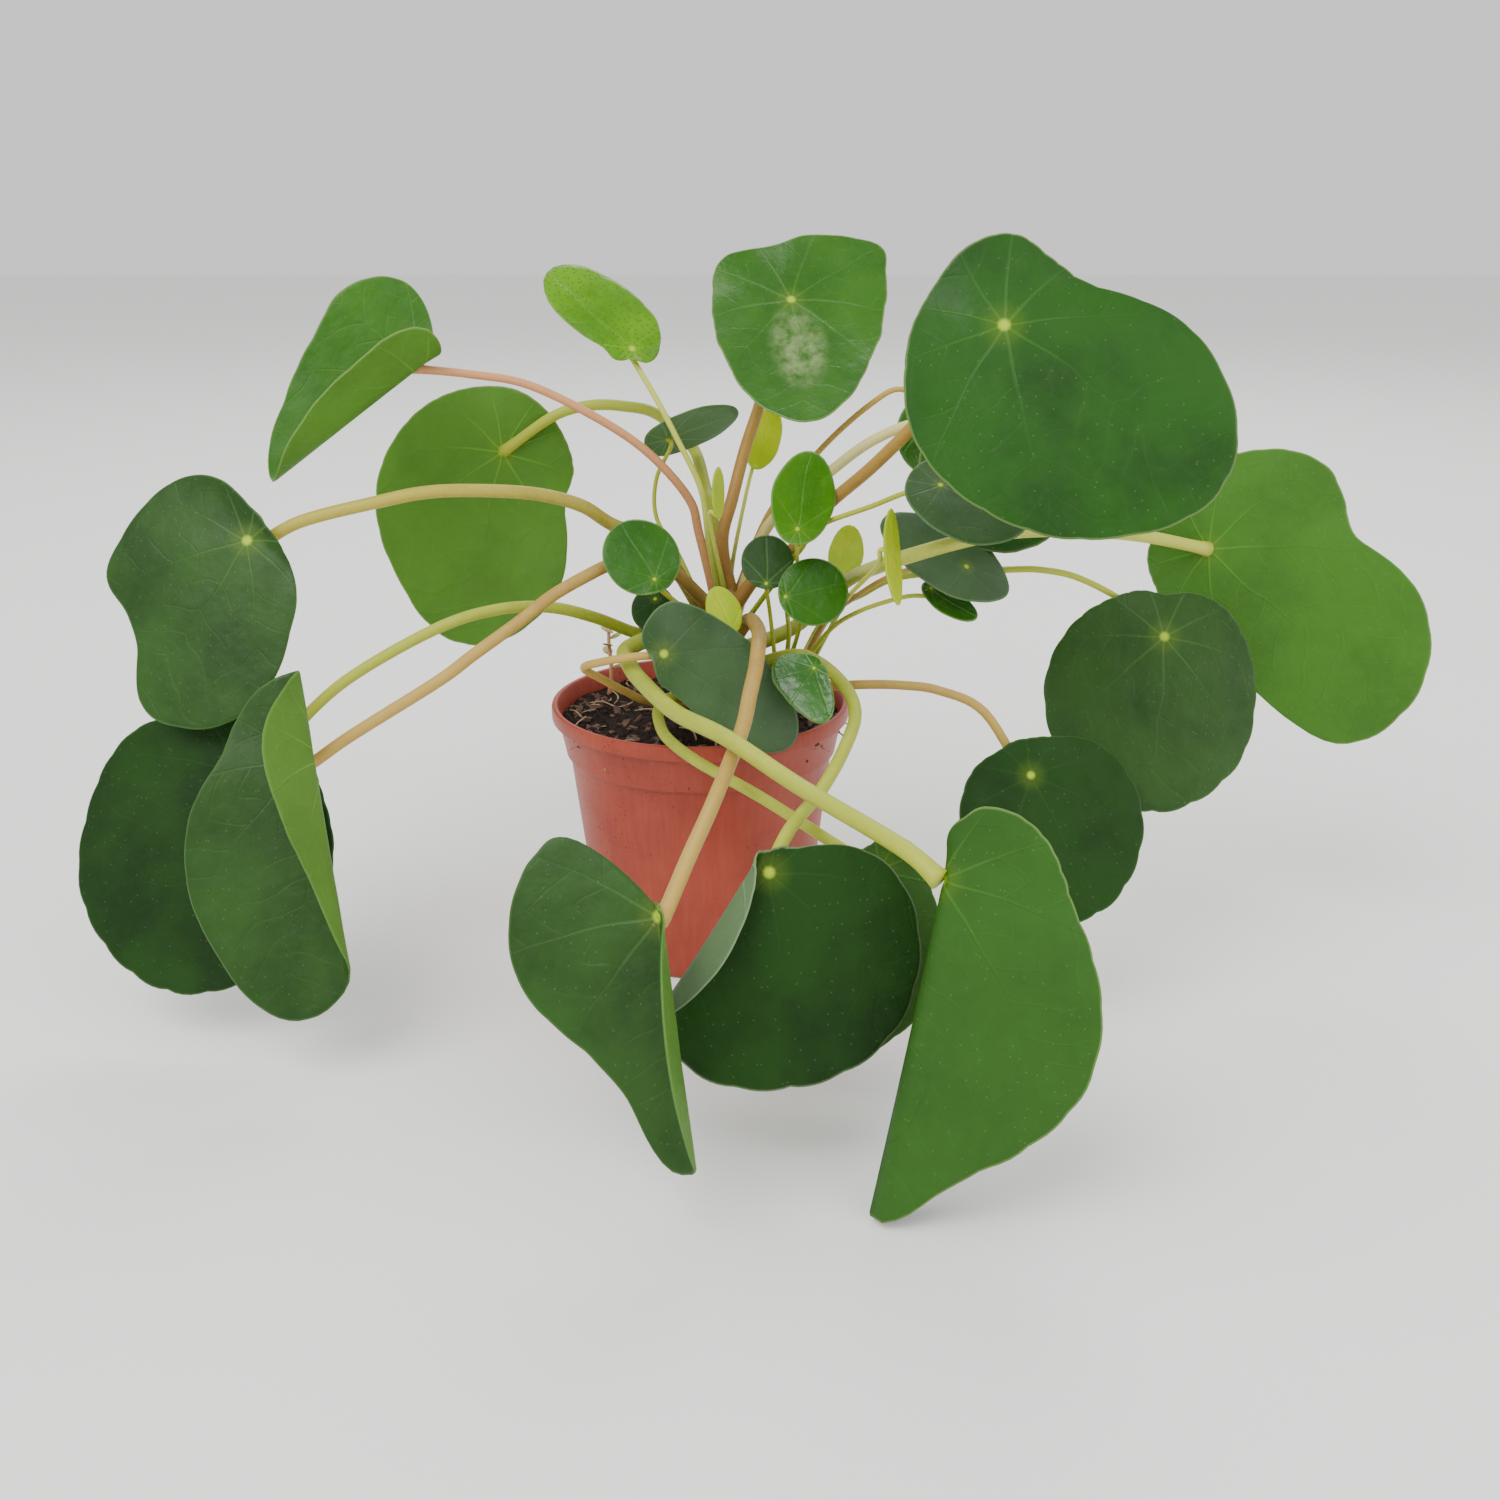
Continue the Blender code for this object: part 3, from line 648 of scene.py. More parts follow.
def smooth_route(points, steps: int) -> np.ndarray:
    """Draw a Catmull-Rom curve through some points.

    Args:
        points: The points, in order.
        steps: How many pieces to cut each stretch between two of them into.

    Returns:
        The curve's points, the first and the last of them included.
    """
    points = np.asarray(points, float)
    padded = np.vstack([2 * points[0] - points[1], points, 2 * points[-1] - points[-2]])
    curve = []
    for a, b, c, d in zip(padded, padded[1:], padded[2:], padded[3:]):
        for t in np.arange(steps) / steps:
            curve.append(0.5 * (2 * b + (c - a) * t + (2 * a - 5 * b + 4 * c - d) * t ** 2
                                + (3 * b - a - 3 * c + d) * t ** 3))
    curve.append(points[-1])
    return np.array(curve)


@dataclass(frozen=True)
class Bend:
    """A straight fold of a blade.

    Attributes:
        heading: The direction it lies in from the petiole, in degrees from the tip.
        offset: How far out its crease starts.
        turn: How far it turns towards the upper side, in degrees.
        width: How wide the crease is.
    """

    heading: float
    offset: float
    turn: float
    width: float

    def apply(self, points: np.ndarray) -> np.ndarray:
        """Roll the points beyond the crease round an arc, without stretching them.

        Args:
            points: Points in the leaf's own frame, which earlier folds may have moved.

        Returns:
            The points after this fold.
        """
        heading = math.radians(self.heading)
        along = np.array([math.cos(heading), math.sin(heading)])
        across = np.array([-along[1], along[0]])
        out = points[..., :2] @ along - self.offset
        side = points[..., :2] @ across
        height = points[..., 2]
        turn = math.radians(self.turn)
        radius = self.width / turn
        angle = np.clip(out, 0, self.width) / self.width * turn
        tail = np.maximum(out - self.width, 0)
        rolled = radius * np.sin(angle) + tail * np.cos(angle)
        flat = np.where(out < 0, out, rolled) - height * np.sin(angle)
        raised = radius * (1 - np.cos(angle)) + tail * np.sin(angle)
        lift = np.where(out < 0, 0, raised) + height * np.cos(angle)
        plane = (flat + self.offset)[..., None] * along + side[..., None] * across
        return np.concatenate([plane, lift[..., None]], axis=-1)


@dataclass(frozen=True)
class Leaf:
    """A blade with its petiole.

    Attributes:
        name: What it is called.
        joint: Where the petiole meets the blade.
        tip: The direction of the tip.
        face: The direction the upper side faces.
        reach: Distances from the petiole to the margin, evenly spaced from the tip round.
        radius: The petiole's radius.
        root: The stem, compass angle and height the petiole starts from.
        route: Points along the petiole.
        finish: How the blade looks.
        stalk: How the petiole looks.
        bends: The folds, in the order they are made.
        dish: How far the margin stands above the middle.
        waves: Pairs of count and height of the waves round the margin, with a phase in degrees.
        crenate: Depth of the shallow rounded teeth round the margin.
        lead: How far below the blade the petiole turns square to it, or 0 if it runs straight in.
        small: True for a leaf that is one solid with its petiole.
    """

    name: str
    joint: tuple[float, float, float]
    tip: tuple[float, float, float]
    face: tuple[float, float, float]
    reach: tuple[float, ...]
    radius: float
    root: tuple[str, float, float]
    route: Points
    finish: LeafFinish
    stalk: StalkFinish
    bends: tuple[Bend, ...] = ()
    dish: float = -3.0
    waves: tuple[tuple[int, float, float], ...] = ((3, 1.2, 20.0),)
    crenate: float = 0.0
    lead: float = 8.0
    small: bool = False

    def reach_at(self, angle: np.ndarray) -> np.ndarray:
        """Find the distance to the margin, smoothly between the reaches.

        Args:
            angle: Headings from the tip, in radians.

        Returns:
            The distance along each heading, teeth included.
        """
        table = np.asarray(self.reach, float)
        count = len(table)
        place = (np.asarray(angle) / math.tau * count) % count
        base = np.floor(place).astype(int)
        t = place - base
        before, here = table[(base - 1) % count], table[base % count]
        after, later = table[(base + 1) % count], table[(base + 2) % count]
        slope = after - before
        square = 2 * before - 5 * here + 4 * after - later
        cube = 3 * here - before - 3 * after + later
        smooth = 0.5 * (2 * here + slope * t + square * t ** 2 + cube * t ** 3)
        # Shallow teeth, wider than they are deep, fade out near the notch above the petiole.
        girth = smooth.mean() * math.tau
        teeth = max(8, round(girth / 9.0))
        bite = np.abs(np.sin(angle * teeth / 2 + 0.4 * np.sin(3 * angle))) ** 0.7 - 0.6
        return smooth + self.crenate * bite * (0.6 + 0.4 * np.cos(angle))

    def surface(self, share: np.ndarray, angle: np.ndarray) -> tuple[np.ndarray, np.ndarray]:
        """Place points of the blade's middle surface.

        Args:
            share: How far out each point is, from 0 at the petiole to 1 at the margin.
            angle: Its heading from the tip, in radians.

        Returns:
            The points in place, and the same points laid flat.
        """
        distance = share * self.reach_at(angle)
        x, y = distance * np.cos(angle), distance * np.sin(angle)
        size = max(self.reach)
        lift = self.dish * (distance / size) ** 2
        for count, height, phase in self.waves:
            lift = lift + height * share ** 2.4 * np.sin(count * angle + math.radians(phase))
        points = np.stack([x, y, lift], axis=-1)
        for bend in self.bends:
            points = bend.apply(points)
        normal = unit(self.face)
        tip = unit(np.asarray(self.tip) - normal * np.dot(self.tip, normal))
        side = np.cross(normal, tip)
        placed = np.asarray(self.joint) + points @ np.stack([tip, side, normal])
        return placed, np.stack([x, y], axis=-1)


MAIN, OFFSET, CROWN = "main", "offset", "crown"
TRUNK_AXIS = ((6.0, 2.0, 97.0), (8.0, 2.0, 120.0), (11.0, 2.0, 150.0))
TRUNK_RADII = (6.5, 5.0)
OFFSET_AXIS = ((34.0, -8.0, 97.0), (34.0, -8.0, 105.0), (34.0, -8.0, 113.0))
OFFSET_RADII = (4.4, 4.0)


def root_point(leaf: Leaf) -> np.ndarray:
    """Return where a petiole leaves its stem: on the stem's axis side at a compass angle and height."""
    stem, compass, height = leaf.root
    if stem == CROWN:
        return np.array([12.0, 4.0, height - 6.0])
    axis, radii = (TRUNK_AXIS, TRUNK_RADII) if stem == MAIN else (OFFSET_AXIS, OFFSET_RADII)
    heights = [point[2] for point in axis]
    centre = [np.interp(height, heights, [point[k] for point in axis]) for k in range(2)]
    away = np.interp(height, (heights[0], heights[-1]), radii) * 0.6
    angle = math.radians(compass)
    return np.array([centre[0] + away * math.cos(angle), centre[1] + away * math.sin(angle), height - 1.0])


class BladeMesh:
    """Builds a blade as two skins and a rounded margin, with its leaf-plane UV map."""

    THICKNESS = 0.9
    ROUNDED = 0.9
    FULL_REACH = 70.0

    def __init__(self, leaf: Leaf) -> None:
        """Choose how finely to cut the blade."""
        self.leaf = leaf
        self.spokes = 72 if leaf.small else 168
        self.rings = 14 if leaf.small else 36
        if leaf.name == "over_pot":
            self.spokes, self.rings = 144, 28

    def build(self) -> bpy.types.Mesh:
        """Return the closed mesh, upper skin in slot 0 and underside in slot 1."""
        leaf = self.leaf
        # Rings crowd towards the margin, where the blade thins and turns over.
        shares = 1 - (1 - np.linspace(0, 1, self.rings + 1)[1:]) ** 1.25
        headings = np.arange(self.spokes) * math.tau / self.spokes
        share, angle = np.meshgrid(shares, headings, indexing="ij")
        middle, flat = leaf.surface(share, angle)
        hub, _ = leaf.surface(np.array(0.0), np.array(0.0))
        normals = self._normals(share, angle)
        to_edge = (1 - share) * leaf.reach_at(angle)
        thin = np.sqrt(np.clip(to_edge / self.ROUNDED, 0.0, 1.0)) * 0.85 + 0.15
        half = self.THICKNESS / 2 * thin
        upper = middle + normals * half[..., None]
        under = middle - normals * half[..., None]
        count = share.size
        up = unit(leaf.face) * self.THICKNESS / 2
        verts = np.vstack([[hub + up], upper.reshape(-1, 3), [hub - up], under.reshape(-1, 3)])
        faces: list[tuple[int, ...]] = []
        for k in range(self.spokes):
            after = (k + 1) % self.spokes
            faces.append((0, 1 + k, 1 + after))
            for r in range(self.rings - 1):
                a, b = 1 + r * self.spokes, 1 + (r + 1) * self.spokes
                faces.append((a + k, b + k, b + after, a + after))
        top_faces = len(faces)
        base = count + 1
        for k in range(self.spokes):
            after = (k + 1) % self.spokes
            faces.append((base, base + 1 + after, base + 1 + k))
            for r in range(self.rings - 1):
                a, b = base + 1 + r * self.spokes, base + 1 + (r + 1) * self.spokes
                faces.append((a + k, a + after, b + after, b + k))
            outer = (self.rings - 1) * self.spokes
            faces.append((1 + outer + k, base + 1 + outer + k, base + 1 + outer + after,
                          1 + outer + after))
        mesh = bpy.data.meshes.new("blade_" + leaf.name)
        mesh.from_pydata(verts.tolist(), [], faces)
        plane = np.vstack([[[0, 0]], flat.reshape(-1, 2), [[0, 0]], flat.reshape(-1, 2)])
        edge = np.concatenate([[leaf.reach_at(np.array(0.0))], to_edge.reshape(-1)] * 2)
        self._label(mesh, plane, edge, top_faces)
        return mesh

    def _normals(self, share: np.ndarray, angle: np.ndarray) -> np.ndarray:
        """Return the upper side's direction at each point."""
        step = 0.01
        outward = self.leaf.surface(share + step, angle)[0] - self.leaf.surface(share - step, angle)[0]
        around = self.leaf.surface(share, angle + step)[0] - self.leaf.surface(share, angle - step)[0]
        normal = np.cross(outward, around)
        return normal / np.linalg.norm(normal, axis=-1, keepdims=True)

    def _label(self, mesh: bpy.types.Mesh, plane: np.ndarray, edge: np.ndarray, top_faces: int) -> None:
        """Store what the leaf's materials read.

        Args:
            mesh: The blade.
            plane: Each point laid flat, for the UV map.
            edge: Each point's distance to the margin.
            top_faces: How many faces the upper skin has; they come first.
        """
        loops = np.zeros(len(mesh.loops), int)
        mesh.loops.foreach_get("vertex_index", loops)
        layer = mesh.uv_layers.new(name="leaf")
        layer.uv.foreach_set("vector", (plane[loops] / UV_SPAN + 0.5).ravel())
        store(mesh, "edge", edge)
        size = min(1.0, max(0.35, max(self.leaf.reach) / self.FULL_REACH))
        store(mesh, "size", np.full(len(mesh.vertices), size))
        seed = sum(ord(letter) * (k + 3) for k, letter in enumerate(self.leaf.name))
        shift = np.tile([seed % 97 * 7.3, seed % 61 * 11.9, seed % 29 * 5.1], (len(mesh.vertices), 1))
        store(mesh, "seed", shift)
        slots = np.zeros(len(mesh.polygons), int)
        slots[top_faces:] = 1
        mesh.polygons.foreach_set("material_index", slots)


class StalkMesh:
    """Builds a petiole as a closed tube that swells at its foot and where it meets the blade."""

    FOOT_SWELL, FOOT_FADE = 0.45, 9.0
    TOP_SWELL, TOP_FADE = 0.3, 4.0

    def __init__(self, leaf: Leaf) -> None:
        """Take the leaf whose petiole this is."""
        self.leaf = leaf

    def route(self) -> np.ndarray:
        """Return the petiole's curve, from inside its stem into the blade."""
        leaf = self.leaf
        normal = unit(leaf.face)
        joint = np.asarray(leaf.joint, float)
        end = [joint - normal * leaf.lead, joint] if leaf.lead else [joint]
        points = [root_point(leaf), *leaf.route, *end]
        return smooth_route(points, 7)

    def build(self) -> bpy.types.Mesh:
        """Return the closed mesh with its "along" attribute."""
        leaf = self.leaf
        route = self.route()
        length = np.concatenate([[0], np.cumsum(np.linalg.norm(np.diff(route, axis=0), axis=1))])
        along = length / length[-1]
        foot = self.FOOT_SWELL * np.exp(-length / self.FOOT_FADE)
        swell = 1 + foot + self.TOP_SWELL * np.exp(-(length[-1] - length) / self.TOP_FADE)
        radii = leaf.radius * (1.08 - 0.16 * along) * swell
        sides = 10 if leaf.small else 16
        return tube(route, radii, sides, along, "petiole_" + leaf.name)


def tube(route: np.ndarray, radii: np.ndarray, sides: int, along: np.ndarray, name: str) -> bpy.types.Mesh:
    """Build a closed tube along a route without twist.

    Args:
        route: The middle of the tube.
        radii: Its radius at each point.
        sides: How many sides it has round.
        along: How far along each point is, from 0 to 1, kept as the "along" attribute.
        name: The mesh's name.

    Returns:
        The mesh.
    """
    tangents = np.gradient(route, axis=0)
    normal = np.cross(unit(tangents[0]), (0.3, 0.2, 0.9))
    angles = np.arange(sides) * math.tau / sides
    rings = []
    for place, tangent, radius in zip(route, tangents, radii):
        forward = unit(tangent)
        normal = unit(normal - forward * np.dot(normal, forward))
        side = np.cross(forward, normal)
        rings.append(place + radius * (np.cos(angles)[:, None] * normal + np.sin(angles)[:, None] * side))
    count = len(route)
    verts = np.vstack([np.vstack(rings), route[:1], route[-1:]])
    first, last = count * sides, count * sides + 1
    faces: list[tuple[int, ...]] = []
    for k in range(sides):
        after = (k + 1) % sides
        for r in range(count - 1):
            a, b = r * sides, (r + 1) * sides
            faces.append((a + k, a + after, b + after, b + k))
        faces.append((first, after, k))
        end = (count - 1) * sides
        faces.append((last, end + k, end + after))
    mesh = bpy.data.meshes.new(name)
    mesh.from_pydata(verts.tolist(), [], faces)
    values = np.concatenate([np.repeat(along, sides), along[:1], along[-1:]])
    store(mesh, "along", values)
    return mesh


def oval(length: float, width: float, inset: float) -> tuple[float, ...]:
    """Work out the reaches of an oval blade.

    Args:
        length: Its length from the tip.
        width: Its width.
        inset: How far up from its base the petiole joins, as a share of the length.

    Returns:
        Twelve distances from the petiole to the margin.
    """
    half, side = length / 2, width / 2
    middle = half - inset * length
    reaches = []
    for step in range(12):
        c, s = math.cos(step * math.tau / 12), math.sin(step * math.tau / 12)
        a = (c / half) ** 2 + (s / side) ** 2
        b = -2 * middle * c / half ** 2
        d = (middle / half) ** 2 - 1
        reaches.append((-b + math.sqrt(b * b - 4 * a * d)) / (2 * a))
    return tuple(reaches)


# ---- the plant ------------------------------------------------------------------------------

LARGE_LEAVES = (
    Leaf("upper_left", (-111, 20, 233), (-0.77, -0.26, -0.58), (-0.46, -0.39, 0.8),
         (70, 50, 36, 30, 25, 14, 10, 17, 38, 44, 43, 52), 1.7, (MAIN, 170, 143),
         ((0, 8, 170), (-4, 10, 184), (-19, 12, 201), (-38, 14, 214), (-66, 18, 227), (-89, 19, 231)),
         SUNLIT, PINK_STALK,
         bends=(Bend(90, 0, 66, 14), Bend(-90, 0, 54, 14)), dish=-1.0, waves=((4, 1.0, 40.0),),
         crenate=0.4, lead=0),
    Leaf("back_left", (-86, 70, 193), (-0.2, -0.42, -0.89), (-0.1, 0.98, -0.19),
         (84, 69, 56, 43, 34, 29, 27, 26, 27, 31, 36, 67), 2.4, (MAIN, 110, 136),
         ((5, 18, 174), (2, 32, 184), (-4, 52, 198), (-19, 62, 210), (-33, 65, 213), (-48, 67, 213),
         (-64, 69, 208)), SUNLIT, GREEN_STALK,
         dish=-4.0, waves=((3, 2.0, 0.0), (5, 1.0, 60.0)), crenate=0.5, lead=0),
    Leaf("left", (-163, -40, 178), (-0.56, -0.42, -0.71), (-0.1, -0.9, 0.43),
         (72, 72, 66, 53, 38, 29, 20.5, 14, 11, 9.5, 9, 9, 10, 11, 13, 18, 26, 34, 40.5, 45.5, 51, 57.5,
          54, 57), 2.5, (MAIN, 182, 133),
         ((-15, -6, 168), (-33, -10, 178), (-44, -14, 186), (-60, -18, 191), (-80, -22, 193),
         (-99, -25, 193), (-117, -28, 190), (-146, -30, 183)), SHADE, OLIVE_STALK,
         dish=-6.0, waves=((2, 2.5, 30.0), (5, 0.8, 10.0)), crenate=0.3),
    Leaf("low_left", (-166, -62, 95), (-0.34, -0.41, -0.85), (-0.1, -0.9, 0.43),
         (84, 70, 50, 32, 26, 22, 25, 26, 30, 48, 64, 80), 2.2, (MAIN, 190, 119),
         ((-15, -8, 132), (-26, -12, 136), (-40, -20, 144), (-56, -28, 150), (-75, -36, 151),
         (-97, -42, 145), (-130, -48, 127), (-152, -50, 107)), DEEP, GREEN_STALK,
         dish=-4.0, waves=((3, 1.8, 70.0), (7, 0.6, 0.0)), crenate=1.0),
    Leaf("low_left_folded", (-136, -85, 109), (0.03, -0.39, -0.92), (0.05, -0.9, 0.43),
         (90, 50, 38, 33, 31, 30, 32, 31, 29, 31, 48, 70), 2.3, (MAIN, 223, 140),
         ((-8, -16, 160), (-19, -26, 168), (-30, -32, 168), (-41, -38, 164), (-53, -44, 158),
         (-63, -50, 151), (-80, -58, 140), (-92, -64, 132), (-123, -72, 114)), SHADE, TAN_STALK,
         bends=(Bend(99, -2, 116, 11),), dish=-2.0, waves=((4, 1.0, 20.0),), crenate=0.3),
    Leaf("top", (36, 30, 258), (0.11, -0.66, -0.74), (0.02, -0.72, 0.69),
         (62, 55, 46, 40, 38, 36.5, 38, 40.5, 45.5, 39.5, 33, 29, 26, 26.5, 29.5, 33, 33, 31, 31, 32,
          35.5, 40, 48.5, 57), 2.4, (CROWN, 0, 152.5),
         ((9, 6, 168), (13, 10, 184), (18, 18, 202), (24, 26, 219), (30, 36, 239)), CROWN_TOP, BROWN_STALK,
         dish=3.0, waves=((2, 3.0, 100.0), (5, 0.8, 0.0)), crenate=0.4),
    Leaf("top_right", (97, -110, 259), (0.8, -0.34, -0.5), (-0.05, -0.9, 0.43),
         (82, 61, 32, 26, 29, 27, 25, 27, 33, 45, 57, 71), 2.3, (MAIN, 330, 143),
         ((24, -6, 158), (39, -16, 172), (48, -28, 188), (63, -44, 205), (76, -64, 223), (88, -85, 242)),
         GRASS, BROWN_STALK,
         dish=-5.0, waves=((3, 2.0, 50.0), (5, 0.8, 0.0)), crenate=0.6),
    Leaf("right", (202, 10, 164), (0.74, -0.32, -0.59), (0.1, 0.98, -0.19),
         (101, 94, 59, 43, 35, 30, 27, 25, 24, 23, 22, 23, 24, 26, 29, 32, 37, 43, 50, 55, 55, 57,
          80, 95), 2.6, (MAIN, 355, 124),
         ((36, 2, 133), (48, 0, 144), (58, -20, 159), (68, -56, 173), (75, -66, 178), (96, -62, 183),
         (116, -52, 184), (141, -46, 183), (173, -10, 173)), GRASS, PALE_STALK,
         dish=-5.0, waves=((3, 2.5, 0.0), (6, 1.0, 30.0)), crenate=0.6, lead=0),
    Leaf("right_round", (177, -30, 139), (-0.1, -0.43, -0.9), (0, -0.88, 0.47),
         (67, 57, 42, 32, 26, 21, 17, 20, 25, 36, 50, 62), 1.3, (OFFSET, 25, 112),
         ((51, -10, 142), (64, -14, 152), (76, -18, 159), (96, -21, 162), (116, -22, 163),
         (130, -22, 163), (146, -20, 159), (166, -20, 148)), SHADE, GREEN_STALK,
         dish=-3.0, waves=((3, 1.2, 80.0),), crenate=1.0),
    Leaf("low_right", (122, -70, 98), (0.42, -0.5, -0.76), (0.05, -0.86, 0.52),
         (55, 48, 39, 29, 18, 14, 14, 15, 21, 29, 41, 52), 1.8, (MAIN, 318, 105),
         ((34, -20, 114), (47, -24, 117), (62, -30, 120), (77, -37, 122), (91, -44, 122), (107, -52, 116)),
         DEEP, TAN_STALK,
         dish=-3.0, waves=((3, 1.2, 10.0),), crenate=0.9),
    Leaf("front_right", (76, -178, 106), (-0.22, -0.37, -0.89), (0.24, 0.94, -0.24),
         (108, 96, 86, 75, 62, 51, 40, 31, 22, 15, 11, 11, 12, 24, 28.5, 31.5, 34, 36, 40, 50, 63, 75,
          83, 91), 3.0, (MAIN, 238, 119),
         ((-12, -28, 140), (-19, -38, 140), (-26, -46, 138), (-24, -54, 135), (-19, -62, 131),
         (-6, -82, 126), (12, -103, 124), (36, -125, 115), (65, -167, 112)), FRONT, GREEN_STALK,
         bends=(Bend(90, -4, 140, 7),), dish=-3.0, waves=((3, 1.6, 60.0), (7, 0.8, 0.0)), crenate=0.9,
         lead=0),
    Leaf("front_dark", (26, -153, 97), (0.1, -0.36, -0.93), (0, -0.93, 0.37),
         (68, 64, 52, 36, 14, 9, 7, 8, 10, 20, 46, 66), 2.4, (MAIN, 322, 116),
         ((35, -28, 131), (46, -38, 131), (55, -52, 126), (58, -66, 120), (53, -86, 114), (44, -108, 107),
         (33, -132, 103)), PALE_BACKED, GREEN_STALK,
         bends=(Bend(-126, 2.5, 122, 6),), dish=-3.0, waves=((3, 1.0, 0.0),), crenate=1.0),
    Leaf("front_left", (-7, -178, 94), (0.1, -0.34, -0.94), (-0.1, -0.9, 0.43),
         (76, 62, 44, 24, 14, 9, 7, 5, 4, 4, 4, 4, 4, 4.5, 8, 37, 42.5, 44.5, 46, 47, 46.5, 45.5, 47, 55),
         2.7, (MAIN, 305, 126),
         ((19, -22, 143), (23, -42, 145), (23, -66, 146), (22, -78, 141), (20, -85, 134), (17, -94, 123),
         (8, -118, 107), (1, -146, 100)), SHADE, TAN_STALK,
         bends=(Bend(92, -2, 90, 5),), dish=-2.0, waves=((3, 1.2, 30.0),), crenate=0.3),
    Leaf("front_hidden", (64, -113, 80), (-0.2, -0.42, -0.89), (0, 0.97, -0.24),
         (66, 58, 34, 18, 10, 9, 12, 14, 15, 17, 28, 50), 2.1, (MAIN, 250, 108),
         ((-10, -34, 116), (-14, -48, 116), (-13, -56, 112), (-9, -64, 109), (2, -76, 105),
         (23, -98, 101), (48, -121, 93)), DEEP, GREEN_STALK,
         dish=-3.0, waves=((3, 1.2, 30.0),), crenate=0.9),
)

